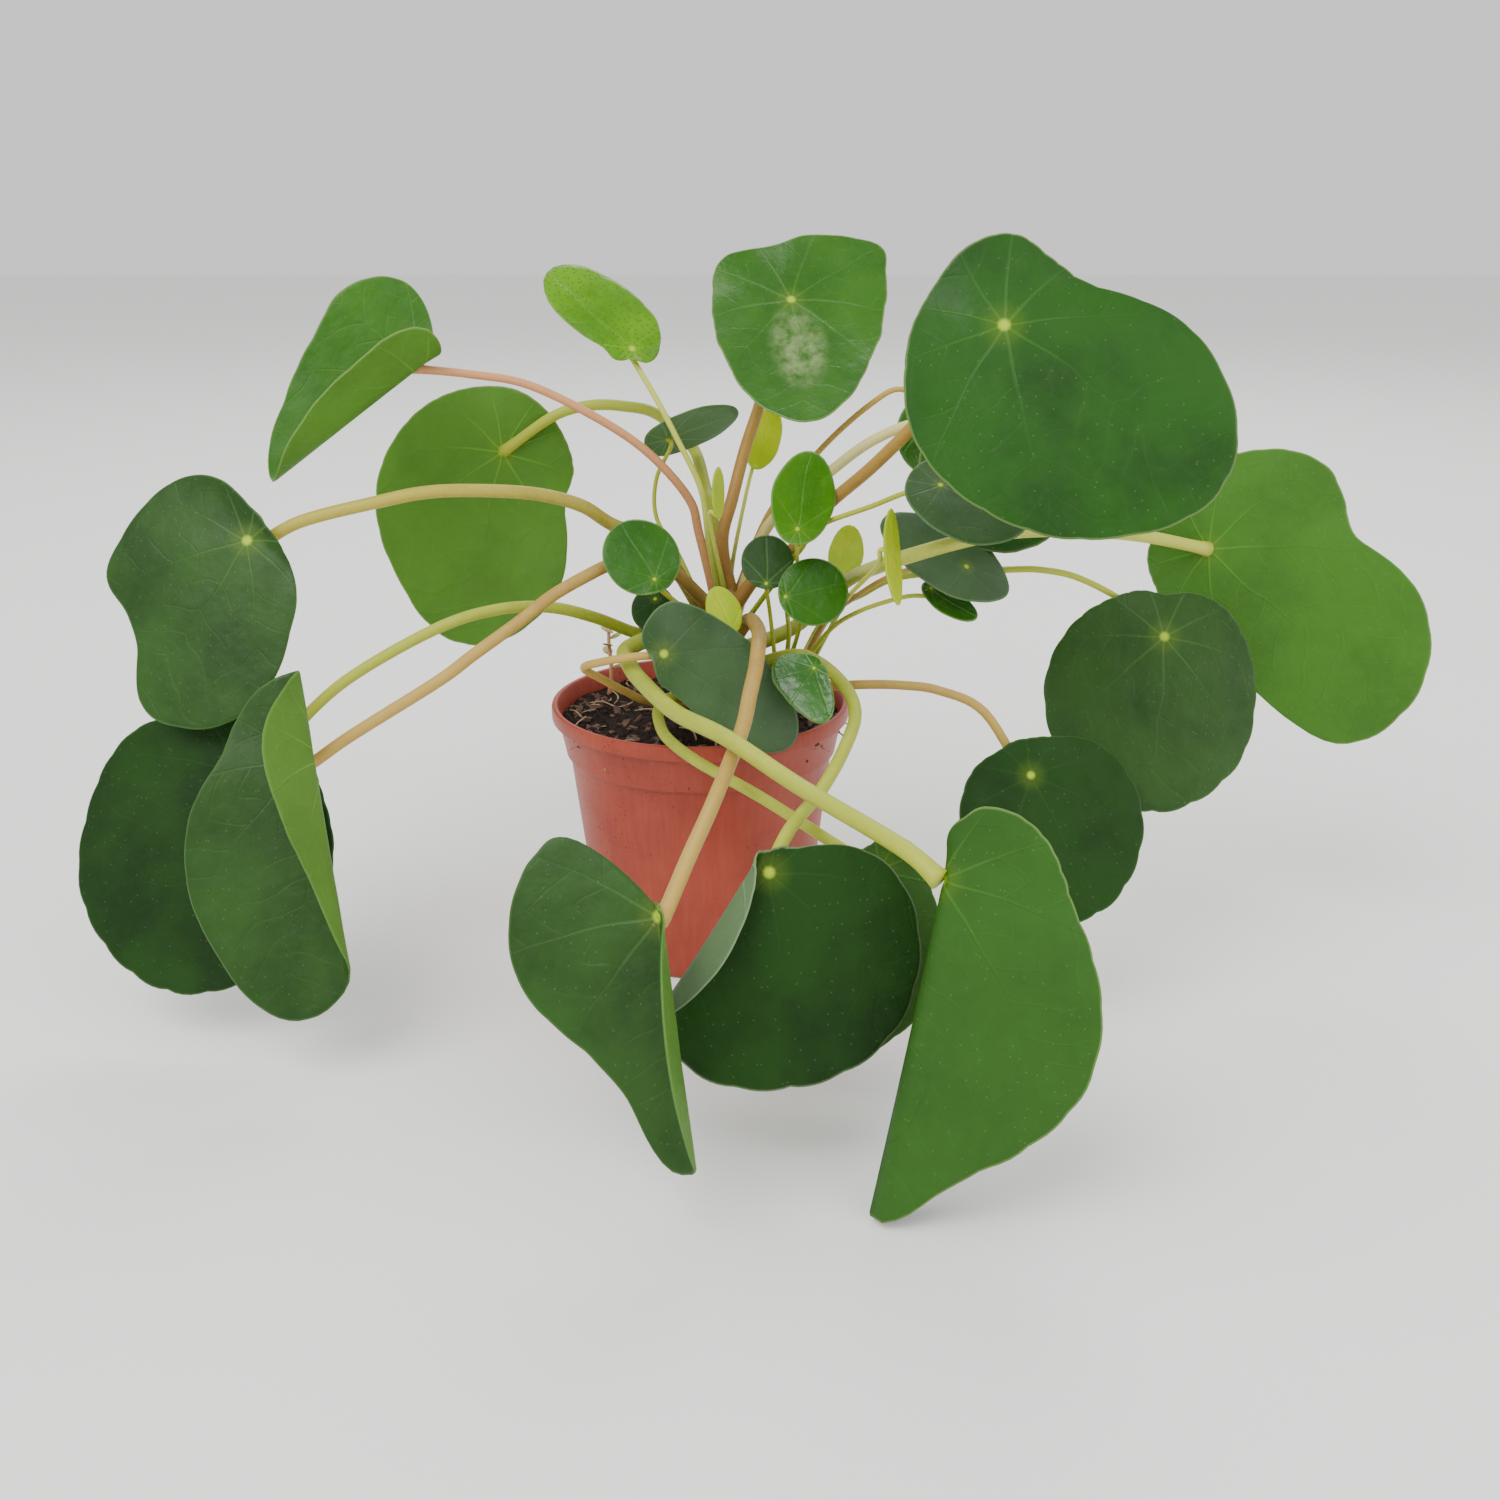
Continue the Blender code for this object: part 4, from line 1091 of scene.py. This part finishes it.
SMALL_LEAVES = (
    Leaf("over_pot", (-11, -60, 141), (0.8, -0.11, -0.6), (0.12, -0.93, 0.34),
         (57, 39, 26, 21, 19, 14, 10, 6, 5, 6, 11, 20), 1.6, (MAIN, 225, 103),
         ((-17, -28, 112), (-27, -36, 119), (-36, -44, 127), (-41, -51, 133), (-34, -57, 137),
         (-23, -61, 140)), BLOOM_AND_REFLECTION, TAN_STALK,
         dish=-1.5, waves=((3, 0.8, 30.0),), crenate=0.3, lead=4, small=True),
    Leaf("glossy_low", (43, -62, 136), (0.2, -0.73, -0.65), (0, -0.66, 0.75),
         (22, 8.5, 5.5, 4.5, 4.2, 5.2, 6, 8, 14, 15.5, 15, 18), 0.9, (OFFSET, 285, 115),
         ((39, -24, 123), (43, -50, 127)), GLOSSY, GREEN_STALK,
         dish=-1.5, waves=((2, 1.2, 30.0),), crenate=0.2, lead=4, small=True),
    Leaf("dark_inner", (-17, -8, 148), (-0.2, -0.42, -0.89), (0, -0.8, 0.59),
         oval(19, 17, 0.3), 0.9, (MAIN, 205, 127),
         ((-9, -6, 145),), DEEP, GREEN_STALK,
         dish=-1, waves=(), crenate=0.1, lead=4, small=True),
    Leaf("round_left", (-15, -42, 164), (-0.45, 0.3, 0.84), (0.1, -0.83, 0.55),
         oval(31, 28, 0.17), 1.0, (MAIN, 235, 132),
         ((-9, -32, 154),), FRESH, GREEN_STALK,
         dish=-1.5, waves=((3, 0.6, 0.0),), crenate=0.1, lead=4, small=True),
    Leaf("dark_round", (26, -36, 161), (0.05, 0.34, 0.94), (0, -0.86, 0.52),
         oval(21.5, 19.5, 0.1), 0.8, (OFFSET, 178, 109),
         ((28, -22, 143),), SHADE, GREEN_STALK,
         dish=-1.0, waves=(), crenate=0.1, lead=4, small=True),
    Leaf("round_right", (33, -44, 158), (0.98, 0.07, 0.19), (0, -0.86, 0.52),
         oval(26, 26, 0.1), 0.9, (OFFSET, 240, 114),
         ((35, -16, 134), (34, -32, 148)), FRESH, GREEN_STALK,
         dish=-1.2, waves=((3, 0.5, 0.0),), crenate=0.1, lead=4, small=True),
    Leaf("ovate", (37, -44, 183), (0.2, 0.33, 0.92), (0.1, -0.85, 0.51),
         oval(36, 23, 0.17), 0.8, (OFFSET, 120, 115),
         ((40, -9, 140), (38, -26, 164)), MEADOW, GREEN_STALK,
         dish=2.0, waves=((2, 0.6, 0.0),), crenate=0.1, lead=4, small=True),
    Leaf("yellow_oval", (57, 8, 153), (0.12, 0.34, 0.93), (-0.19, -0.84, 0.51),
         oval(23, 14, 0.06), 0.8, (OFFSET, 75, 112),
         ((46, 6, 131), (54, 10, 143)), LIME, PALE_STALK,
         dish=1.5, waves=(), crenate=0.1, lead=4, small=True),
    Leaf("yellow_crown", (13, -36, 143), (-0.32, 0.32, 0.89), (0.1, -0.85, 0.51),
         oval(20, 13, 0.08), 0.9, (MAIN, 262, 137),
         (), LIME, PALE_STALK,
         dish=-1.0, waves=(), crenate=0.1, lead=4, small=True),
    Leaf("bright_high", (-26, 24, 240), (-0.64, 0.16, 0.75), (0.2, -0.74, 0.64),
         (48, 38, 23.5, 13, 10, 8.5, 7, 5.5, 5, 5.5, 6, 7, 8, 8.5, 9.5, 10.5, 11.5, 13, 15, 18, 22, 28,
          36.5, 46), 1.2, (MAIN, 195, 149),
         ((4, -3, 170), (1, 3, 189), (-8, 9, 207), (-17, 16, 223)), BRIGHT, PALE_STALK,
         dish=-3.0, waves=((3, 1.4, 0.0),), crenate=0.4, lead=4, small=True),
    Leaf("edge_on_back", (-13, 28, 205), (0.93, 0.02, 0.36), (-0.35, 0.58, 0.74),
         oval(40, 32, 0.24), 0.9, (MAIN, 150, 130),
         ((-8, 22, 157), (-18, 30, 172), (-18, 30, 188)), BLOOM_AND_REFLECTION, GREEN_STALK,
         dish=-1.5, waves=((2, 1.0, 0.0),), crenate=0.2, lead=4, small=True),
    Leaf("yellow_back", (22, 34, 193), (0.35, 0.32, 0.88), (0.28, -0.82, 0.5),
         oval(28, 14, 0.05), 0.8, (MAIN, 60, 147),
         ((13, 12, 158), (18, 26, 181)), LIME, PALE_STALK,
         dish=1.5, waves=(), crenate=0.1, lead=4, small=True),
    Leaf("sliver_crown", (8, -11, 181), (-0.15, 0.33, 0.93), (0.87, -0.46, 0.16),
         oval(20, 9, 0.05), 0.8, (MAIN, 258, 149),
         (), LIME, PALE_STALK,
         dish=0.8, waves=(), crenate=0.05, lead=4, small=True),
    Leaf("grey_right", (85, -68, 203), (0.84, -0.36, -0.4), (0, -0.59, 0.8),
         oval(45, 37, 0.26), 1.0, (MAIN, 338, 129),
         ((30, -18, 158), (39, -27, 172), (45, -34, 182), (63, -48, 192), (76, -62, 200)), BLOOM_AND_REFLECTION,
         GREEN_STALK,
         dish=-1.5, waves=((3, 0.6, 0.0),), crenate=0.2, lead=4, small=True),
    Leaf("behind_right_small", (91, 2, 220), (0.1, -0.43, -0.9), (0, -0.86, 0.52),
         oval(35, 33, 0.2), 1.2, (MAIN, 48, 142),
         ((27, 16, 176), (47, 14, 202), (66, 6, 221), (78, 4, 227)), FRESH, TAN_STALK,
         dish=-1.5, waves=((3, 0.6, 0.0),), crenate=0.2, lead=4, small=True),
    Leaf("behind_right_large", (107, -20, 215), (0.29, -0.41, -0.86), (0, -0.86, 0.52),
         oval(63, 59, 0.25), 2.1, (MAIN, 25, 134),
         ((24, 3, 169), (35, -2, 184), (50, -6, 197), (66, -12, 210), (84, -16, 217)), GRASS, CREAM_STALK,
         dish=-3.0, waves=((3, 1.0, 0.0),), crenate=0.4, lead=4, small=True),
    Leaf("dark_right", (98, -48, 170), (-0.82, 0.09, 0.56), (0.3, -0.62, 0.73),
         oval(53, 32, 0.34), 1.0, (OFFSET, 345, 114),
         ((49, -13, 140), (58, -22, 151), (72, -36, 164), (86, -42, 169)), BLOOM_AND_REFLECTION, TAN_STALK,
         dish=-1.5, waves=((3, 0.8, 0.0),), crenate=0.2, lead=4, small=True),
    Leaf("narrow_right", (68, -78, 183), (0.2, -0.33, -0.92), (0.9, -0.4, 0.17),
         oval(33, 16, 0.42), 0.9, (OFFSET, 15, 107),
         ((53, -26, 146), (57, -40, 158), (64, -72, 176)), LIME, PALE_STALK,
         dish=1.5, waves=(), crenate=0.1, lead=4, small=True),
    Leaf("folded_right", (86, -44, 161), (0.75, -0.32, -0.58), (0.21, -0.6, 0.77),
         oval(24, 13, 0.15), 0.9, (OFFSET, 318, 114),
         ((49, -26, 139), (61, -34, 150), (77, -40, 157)), FRESH, GREEN_STALK,
         dish=1.5, waves=(), crenate=0.1, lead=4, small=True),
)


class Plant:
    """The stems, the petioles and the blades."""

    def __init__(self, paint: Paint) -> None:
        """Take the materials to use."""
        self.paint = paint

    def build(self) -> None:
        """Make every piece of the plant."""
        for leaf in LARGE_LEAVES:
            blade, petiole = "blade_" + leaf.name, "petiole_" + leaf.name
            self._blade(leaf, blade + "_skin", "large_leaf", blade)
            self._petiole(leaf, petiole + "_skin", petiole)
        # A small leaf's blade and petiole stand for one solid together.
        for leaf in SMALL_LEAVES:
            slot = "young_leaf" if leaf.finish in (LIME, BRIGHT) else "small_leaf"
            self._blade(leaf, f"leaf_{leaf.name}_blade", slot, "leaf_" + leaf.name)
            self._petiole(leaf, f"leaf_{leaf.name}_stalk", "leaf_" + leaf.name)
        bark = plain_material("woody stem", "#96764a", 0.7)
        self._stem("stem_main", TRUNK_AXIS, TRUNK_RADII, bark)
        self._stem("stem_offset", OFFSET_AXIS, OFFSET_RADII, bark)

    def _blade(self, leaf: Leaf, name: str, slot: str, node: str) -> None:
        """Make a leaf's blade, with its two skins' materials."""
        skins = [self.paint.leaf(leaf.finish, side) for side in Side]
        finish_piece(name, BladeMesh(leaf).build(), skins, (node,))

    def _petiole(self, leaf: Leaf, name: str, node: str) -> None:
        """Make a leaf's petiole."""
        finish_piece(name, StalkMesh(leaf).build(), [self.paint.stalk(leaf.stalk)], (node,))

    def _stem(self, name: str, axis: Points, radii: tuple[float, float],
              material: bpy.types.Material) -> None:
        """Make a woody stem with knots where old petioles fell.

        Args:
            name: The stem, and the solid it stands for.
            axis: Points along its middle.
            radii: Its radius at the foot and at the top.
            material: Its bark.
        """
        route = smooth_route(axis, 22)
        share = np.linspace(0, 1, len(route))
        knots = 0.5 * np.sin(share * 34) + 0.25 * np.sin(share * 71 + 1)
        radius = np.interp(share, (0, 1), radii) + knots * 0.8
        radius[-3:] *= (0.9, 0.7, 0.4)
        finish_piece(name + "_skin", tube(route, radius, 28, share, name), [material],
                     (name,))


@dataclass(frozen=True)
class PotSize:
    """The pot's sizes, in millimetres."""

    rim: float = 60.0
    height: float = 105.0
    lip: float = 6.0
    step: float = 85.5
    shoulder: float = 53.1
    foot: float = 43.0
    floor: float = 4.2
    pad: float = 14.0
    drain_ring: float = 26.0
    drain: float = 4.0
    drains: int = 6
    sides: int = 144


class Pot:
    """The thin-walled nursery pot."""

    def __init__(self, size: PotSize) -> None:
        """Take the pot's sizes."""
        self.size = size

    def profile(self) -> list[tuple[float, float]]:
        """Return the outline of the wall and floor, from the axis below round to the axis above."""
        s = self.size
        under = s.height - s.lip
        outside = [
            (0, 0), (s.pad, 0), (s.pad + 1.5, s.floor - 1.6), (s.foot - 6.0, s.floor - 1.6),
            (s.foot - 4.5, 0.3), (s.foot - 4.0, 0), (s.foot - 1.2, 0), (s.foot - 0.2, 0.5),
            (s.foot + 0.5, 1.8),
        ]
        # The wall widens evenly from the foot to the step below the rim.
        outside += [(s.foot + 0.5 + k * (s.shoulder - s.foot - 0.5) / 9, 1.8 + k * (s.step - 3.6) / 9)
                    for k in range(1, 9)]
        outside += [
            (s.shoulder, s.step - 1.6), (53.4, s.step - 1.1), (54.3, s.step - 0.8), (54.7, s.step - 0.3),
            (54.8, s.step + 0.4), (57.2, under - 0.9), (57.6, under - 0.3), (58.4, under),
            (s.rim - 0.7, under),
            (s.rim - 0.2, under + 0.3), (s.rim, under + 1.0), (s.rim, s.height - 1.4),
            (s.rim - 0.3, s.height - 0.5),
            (s.rim - 1.1, s.height), (s.rim - 2.2, s.height - 0.2), (s.rim - 2.9, s.height - 1.2),
        ]
        inside = [
            (55.9, under - 0.6), (53.3, s.step + 0.3), (51.9, s.step - 1.2), (s.foot - 0.6, s.floor),
            (s.pad, s.floor), (s.pad - 1.5, 1.4), (0, 1.4),
        ]
        return outside + inside

    def build(self, material: bpy.types.Material) -> None:
        """Make the pot."""
        mesh = turned("pot", self.profile(), self.size.sides)
        pot = add_object("pot_wall", mesh)
        for k in range(self.size.drains):
            angle = k * math.tau / self.size.drains
            self._drill(pot, self.size.drain_ring * math.cos(angle),
                        self.size.drain_ring * math.sin(angle))
        mesh = pot.data
        bpy.data.objects.remove(pot)
        finish_piece("pot_wall", mesh, [material], ("pot",))
        mesh.set_sharp_from_angle(angle=math.radians(38))

    def _drill(self, pot: bpy.types.Object, x: float, y: float) -> None:
        """Cut one drain hole through the floor."""
        bm = bmesh.new()
        drain = self.size.drain
        bmesh.ops.create_cone(bm, cap_ends=True, segments=24, radius1=drain, radius2=drain, depth=20)
        bmesh.ops.translate(bm, vec=(x, y, 0), verts=bm.verts)
        tool = add_object("drill", written_mesh("drill", bm))
        modifier = pot.modifiers.new("drain", "BOOLEAN")
        modifier.operation = "DIFFERENCE"
        modifier.solver = "EXACT"
        modifier.object = tool
        cut = bpy.data.meshes.new_from_object(pot.evaluated_get(bpy.context.evaluated_depsgraph_get()))
        pot.modifiers.remove(modifier)
        pot.data = cut
        bpy.data.objects.remove(tool)


def add_ring(bm: bmesh.types.BMesh, radius: float, height: float, sides: int) -> list[bmesh.types.BMVert]:
    """Add a level ring of vertices round the axis and return them."""
    angles = np.arange(sides) * math.tau / sides
    return [bm.verts.new((radius * math.cos(a), radius * math.sin(a), height)) for a in angles]


def turned(name: str, profile: list[tuple[float, float]], sides: int) -> bpy.types.Mesh:
    """Turn a profile round the axis.

    Args:
        name: The mesh's name.
        profile: Radius and height of each point; it starts and ends on the axis.
        sides: How many sides it has round.

    Returns:
        The closed mesh.
    """
    bm = bmesh.new()
    loops = []
    for radius, height in profile:
        if radius == 0:
            loops.append([bm.verts.new((0, 0, height))])
            continue
        loops.append(add_ring(bm, radius, height, sides))
    for near, far in zip(loops, loops[1:]):
        for k in range(sides):
            after = (k + 1) % sides
            if len(near) == 1:
                bm.faces.new((near[0], far[k], far[after]))
            elif len(far) == 1:
                bm.faces.new((near[k], near[after], far[0]))
            else:
                bm.faces.new((near[k], near[after], far[after], far[k]))
    bmesh.ops.recalc_face_normals(bm, faces=bm.faces)
    return written_mesh(name, bm)


class Soil:
    """The soil: a lumpy top, with chips of bark, fibres and crumbs scattered on it."""

    LEVEL = 97.0
    RADIUS = 55.5
    SIDES = 120
    RINGS = 34
    # Radius and height down the inside of the pot to its floor and its raised middle.
    DOWN = ((52.8, 86.0), (51.4, 84.3), (41.8, 4.7), (13.3, 4.7), (11.8, 1.9))
    TOP_DEPTH = 6

    def height(self, x: float, y: float) -> float:
        """Work out the soil's height at a point; it rises under the stem and towards the wall.

        Args:
            x: How far the point is to the right of the axis.
            y: How far it is behind the axis.

        Returns:
            The height above the pot's base.
        """
        lumps = 0.7 * math.sin(x * 0.21 + 1) * math.cos(y * 0.19) + 0.4 * math.sin(x * 0.53 - y * 0.41)
        mound = 3.2 * math.exp(-((x - 12) ** 2 + y ** 2) / 500.0)
        bank = 2.2 * (math.hypot(x, y) / self.RADIUS) ** 4
        return self.LEVEL - 1.0 + lumps + mound + bank

    def build(self) -> None:
        """Make the soil and everything lying on it."""
        top = soil_material()
        bm = bmesh.new()
        sides = self.SIDES
        loops = []
        for r in range(1, self.RINGS + 1):
            radius = self.RADIUS * r / self.RINGS
            loop = []
            for k in range(sides):
                angle = k * math.tau / sides
                x, y = radius * math.cos(angle), radius * math.sin(angle)
                loop.append(bm.verts.new((x, y, self.height(x, y))))
            loops.append(loop)
        hub = bm.verts.new((0, 0, self.height(0, 0)))
        for k in range(sides):
            bm.faces.new((hub, loops[0][k], loops[0][(k + 1) % sides]))
        for radius, height in self.DOWN:
            loops.append(add_ring(bm, radius, height, sides))
        for near, far in zip(loops, loops[1:]):
            for k in range(sides):
                after = (k + 1) % sides
                bm.faces.new((near[k], far[k], far[after], near[after]))
        foot = bm.verts.new((0, 0, self.DOWN[-1][1]))
        for k in range(sides):
            bm.faces.new((foot, loops[-1][(k + 1) % sides], loops[-1][k]))
        bmesh.ops.recalc_face_normals(bm, faces=bm.faces)
        ground = finish_piece("soil_bed", written_mesh("soil", bm), [top], ("soil",))
        chips = plain_material("bark chips", "#5c4130", 0.85)
        self._scatter(ground, "bark_chips", self._chip(), 170, (0.6, 1.5), chips, 3)
        fibres = plain_material("pale fibres", "#b79a78", 0.8)
        self._scatter(ground, "pale_fibres", self._fibre(), 90, (0.6, 1.5), fibres, 8)
        crumbs = plain_material("soil crumbs", "#2a1c14", 0.95)
        self._scatter(ground, "soil_crumbs", self._crumb(), 900, (0.5, 1.6), crumbs, 5)

    def _chip(self) -> bpy.types.Mesh:
        """Return a flat splinter of bark about 5 mm long."""
        bm = bmesh.new()
        bmesh.ops.create_cube(bm, size=1.0)
        for vert in bm.verts:
            vert.co.x *= 4.6 if vert.co.y > 0 else 3.4
            vert.co.y *= 2.2
            vert.co.z = vert.co.z * 1.0 + 0.12 * vert.co.x
        return self._stamp(bm, "chip")

    def _fibre(self) -> bpy.types.Mesh:
        """Return a thin bent fibre about 9 mm long."""
        share = np.linspace(0, 1, 7)
        route = np.stack([9 * (share - 0.5), 1.4 * np.sin(share * 4), 0.9 * np.sin(share * math.pi)],
                         axis=-1)
        mesh = tube(route, np.full(7, 0.26), 4, share, "fibre")
        mesh.transform(TO_METRES)
        return mesh

    def _crumb(self) -> bpy.types.Mesh:
        """Return a lump of soil about 2 mm across."""
        bm = bmesh.new()
        bmesh.ops.create_icosphere(bm, subdivisions=1, radius=1.0)
        for k, vert in enumerate(bm.verts):
            vert.co *= 0.85 + 0.3 * math.sin(k * 2.4)
        return self._stamp(bm, "crumb")

    def _stamp(self, bm: bmesh.types.BMesh, name: str) -> bpy.types.Mesh:
        """Return a mesh in metres from one in millimetres."""
        bmesh.ops.scale(bm, vec=(MM, MM, MM), verts=bm.verts)
        return written_mesh(name, bm)

    def _scatter(self, ground: bpy.types.Object, name: str, stamp: bpy.types.Mesh, count: int,
                 scale: tuple[float, float], material: bpy.types.Material, seed: int) -> None:
        """Scatter copies of a small shape over the soil's top with Geometry Nodes, kept as one mesh.

        Args:
            ground: The soil.
            name: The new piece's name.
            stamp: The shape to copy.
            count: How many to place on a square decimetre.
            scale: The smallest and largest size, against the shape's own.
            material: What they are made of.
            seed: The scatter's fixed seed.
        """
        source = add_object(name + "_shape", stamp)
        holder = add_object(name + "_holder", ground.data.copy())
        tree = scatter_tree(name)
        modifier = holder.modifiers.new("scatter", "NODES")
        modifier.node_group = tree
        values = {"Shape": source, "Density": count * 100.0, "Smallest": scale[0], "Largest": scale[1],
                  "Seed": seed,
                  "Material": material, "Lowest": (self.LEVEL - self.TOP_DEPTH) * MM}
        for item in tree.interface.items_tree:
            if item.in_out == "INPUT" and item.name in values:
                modifier[item.identifier] = values[item.name]
        graph = bpy.context.evaluated_depsgraph_get()
        mesh = bpy.data.meshes.new_from_object(holder.evaluated_get(graph))
        bpy.data.objects.remove(holder)
        bpy.data.objects.remove(source)
        mesh.name = name
        piece = add_object(name, mesh)
        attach(piece, BODY)
        LOG.info("%s: %d faces", name, len(mesh.polygons))


def scatter_tree(name: str) -> bpy.types.NodeTree:
    """Build the Geometry Nodes group that scatters a shape over upward faces.

    Args:
        name: What the group is for.

    Returns:
        The group, with its inputs named.
    """
    tree = bpy.data.node_groups.new("scatter " + name, "GeometryNodeTree")
    kinds = {"Geometry": "Geometry", "Shape": "Object", "Density": "Float", "Smallest": "Float",
             "Largest": "Float", "Lowest": "Float", "Seed": "Int", "Material": "Material"}
    for label, kind in kinds.items():
        tree.interface.new_socket(label, in_out="INPUT", socket_type="NodeSocket" + kind)
    tree.interface.new_socket("Geometry", in_out="OUTPUT", socket_type="NodeSocketGeometry")
    entry = tree.nodes.new("NodeGroupInput").outputs
    above = {"data_type": "FLOAT", "operation": "GREATER_THAN"}
    upright = add_node(tree, "ShaderNodeSeparateXYZ", add_node(tree, "GeometryNodeInputNormal"), out=2)
    upward = add_node(tree, "FunctionNodeCompare", upright, 0.5, **above)
    height = add_node(tree, "ShaderNodeSeparateXYZ", add_node(tree, "GeometryNodeInputPosition"), out=2)
    high = add_node(tree, "FunctionNodeCompare", height, entry["Lowest"], **above)
    chosen = add_node(tree, "FunctionNodeBooleanMath", upward, high, operation="AND")
    seed = {"Seed": entry["Seed"]}
    spread = add_node(tree, "GeometryNodeDistributePointsOnFaces",
                      {"Mesh": entry["Geometry"], "Selection": chosen, "Density": entry["Density"],
                       **seed})
    shape = add_node(tree, "GeometryNodeObjectInfo", {"Object": entry["Shape"]}, out="Geometry")
    turn = add_node(tree, "FunctionNodeRandomValue", (-0.5, -0.5, 0.0), (0.5, 0.5, math.tau), seed,
                    data_type="FLOAT_VECTOR")
    grow = add_node(tree, "FunctionNodeRandomValue", {2: entry["Smallest"], 3: entry["Largest"], **seed},
                    out=1,
                    data_type="FLOAT")
    copies = add_node(tree, "GeometryNodeInstanceOnPoints",
                      {"Points": spread, "Instance": shape, "Rotation": turn, "Scale": grow})
    real = add_node(tree, "GeometryNodeRealizeInstances", copies)
    painted = add_node(tree, "GeometryNodeSetMaterial", {"Geometry": real, "Material": entry["Material"]})
    tree.links.new(painted, tree.nodes.new("NodeGroupOutput").inputs[0])
    return tree


class Seedling:
    """The tiny plant by the rim, with a pinkish stem and a few round leaves."""

    FOOT = (-40.0, 31.0, 96.0)
    HEIGHT = 29.0
    # How far up the stem each leaf stands, as a share, and how far out.
    LEAVES = ((0.3, 4.6), (0.48, 4.8), (0.66, 4.2), (0.8, 3.8), (0.9, 3.2), (0.99, 2.2))
    FIRST_TURN, TURN = 200, 137

    def build(self, paint: Paint) -> None:
        """Make the seedling's stem and leaves."""
        foot = np.asarray(self.FOOT)
        top = foot + (1.5, 0.5, self.HEIGHT)
        share = np.linspace(0, 1, 16)
        route = foot + (top - foot) * share[:, None]
        route[:, 0] += 0.8 * np.sin(share * 5)
        mesh = tube(route, np.interp(share, (0, 1), (1.1, 0.7)), 10, share, "seedling")
        stem = StalkFinish("seedling stem", "#b87a58", "#c89a70")
        finish_piece("seedling_stem", mesh, [paint.stalk(stem)], ("seedling",))
        bm = bmesh.new()
        for k, (place, out) in enumerate(self.LEAVES):
            angle = math.radians(self.FIRST_TURN + self.TURN * k)
            centre = foot + (top - foot) * place
            made = bmesh.ops.create_uvsphere(bm, u_segments=18, v_segments=10, radius=1.0)["verts"]
            for vert in made:
                x, y, z = vert.co.x * 2.7, vert.co.y * 2.1, vert.co.z * 0.5 + 0.05 * vert.co.x ** 2
                z += x * 0.4
                x += out * 0.75
                vert.co = (centre[0] + x * math.cos(angle) - y * math.sin(angle),
                           centre[1] + x * math.sin(angle) + y * math.cos(angle), centre[2] + z)
        mesh = written_mesh("seedling_leaves", bm)
        green = plain_material("seedling leaf", "#a9a052", 0.5)
        finish_piece("seedling_leaves", mesh, [green], ("seedling",))


class Studio:
    """The camera, floor and lights."""

    SENSOR, LENS = 36.0, 36.72
    CAMERA = (0.020, -0.590, 0.295)
    DOWNWARD = 19.8
    FLOOR = 6.0
    SKY = 0.95

    def build(self) -> None:
        """Set the stage."""
        self._camera()
        self._floor()
        self._world()
        self._light("key", (-0.9, -1.3, 1.9), (0.0, -0.05, 0.12), 1.5, 42.0)
        self._light("fill", (1.5, -1.2, 1.1), (0.0, -0.05, 0.12), 1.6, 18.0)
        self._light("back", (0.3, 1.5, 1.8), (0.0, 0.0, 0.15), 1.2, 20.0)

    def _camera(self) -> None:
        """Look at the plant from the front, a little from above."""
        data = bpy.data.cameras.new("camera")
        data.sensor_width = self.SENSOR
        data.lens = self.LENS
        camera = add_object("camera", data)
        camera.location = self.CAMERA
        camera.rotation_euler = (math.radians(90 - self.DOWNWARD), 0.0, 0.0)
        bpy.context.scene.camera = camera

    def _floor(self) -> None:
        """Lay a plain white floor under the pot."""
        bm = bmesh.new()
        bmesh.ops.create_grid(bm, x_segments=1, y_segments=1, size=self.FLOOR)
        mesh = written_mesh("floor", bm)
        floor = add_object("floor", mesh)
        graph = Graph("white paper")
        graph.shader.inputs["Base Color"].default_value = colour("#f4f4f2")
        graph.shader.inputs["Roughness"].default_value = 0.9
        mesh.materials.append(graph.material)

    def _world(self) -> None:
        """Light everything softly from all round."""
        world = bpy.data.worlds.new("soft studio")
        world.use_nodes = True
        background = world.node_tree.nodes["Background"]
        background.inputs[0].default_value = colour("#ffffff")
        background.inputs[1].default_value = self.SKY
        bpy.context.scene.world = world

    def _light(self, name: str, place: tuple, aim: tuple, size: float, power: float) -> None:
        """Add a square area light.

        Args:
            name: The light's name.
            place: Where it stands, in metres.
            aim: What it points at.
            size: The length of its side.
            power: Its power in watts.
        """
        data = bpy.data.lights.new(name, "AREA")
        data.size = size
        data.energy = power
        light = add_object(name, data)
        light.location = place
        away = np.asarray(place, float) - np.asarray(aim, float)
        flat = math.hypot(away[0], away[1])
        light.rotation_euler = (math.atan2(flat, away[2]), 0.0, math.atan2(away[1], away[0]) + math.pi / 2)


def write_size() -> None:
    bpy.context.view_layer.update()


def main() -> None:
    """Build the plant, its pot and the stage."""
    logging.basicConfig(level=logging.INFO)
    for thing in list(bpy.data.objects):
        bpy.data.objects.remove(thing, do_unlink=True)
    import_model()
    paint = Paint()
    Plant(paint).build()
    Pot(PotSize()).build(pot_material())
    Soil().build()
    Seedling().build(paint)
    Studio().build()
    write_size()


if __name__ == "__main__":
    main()
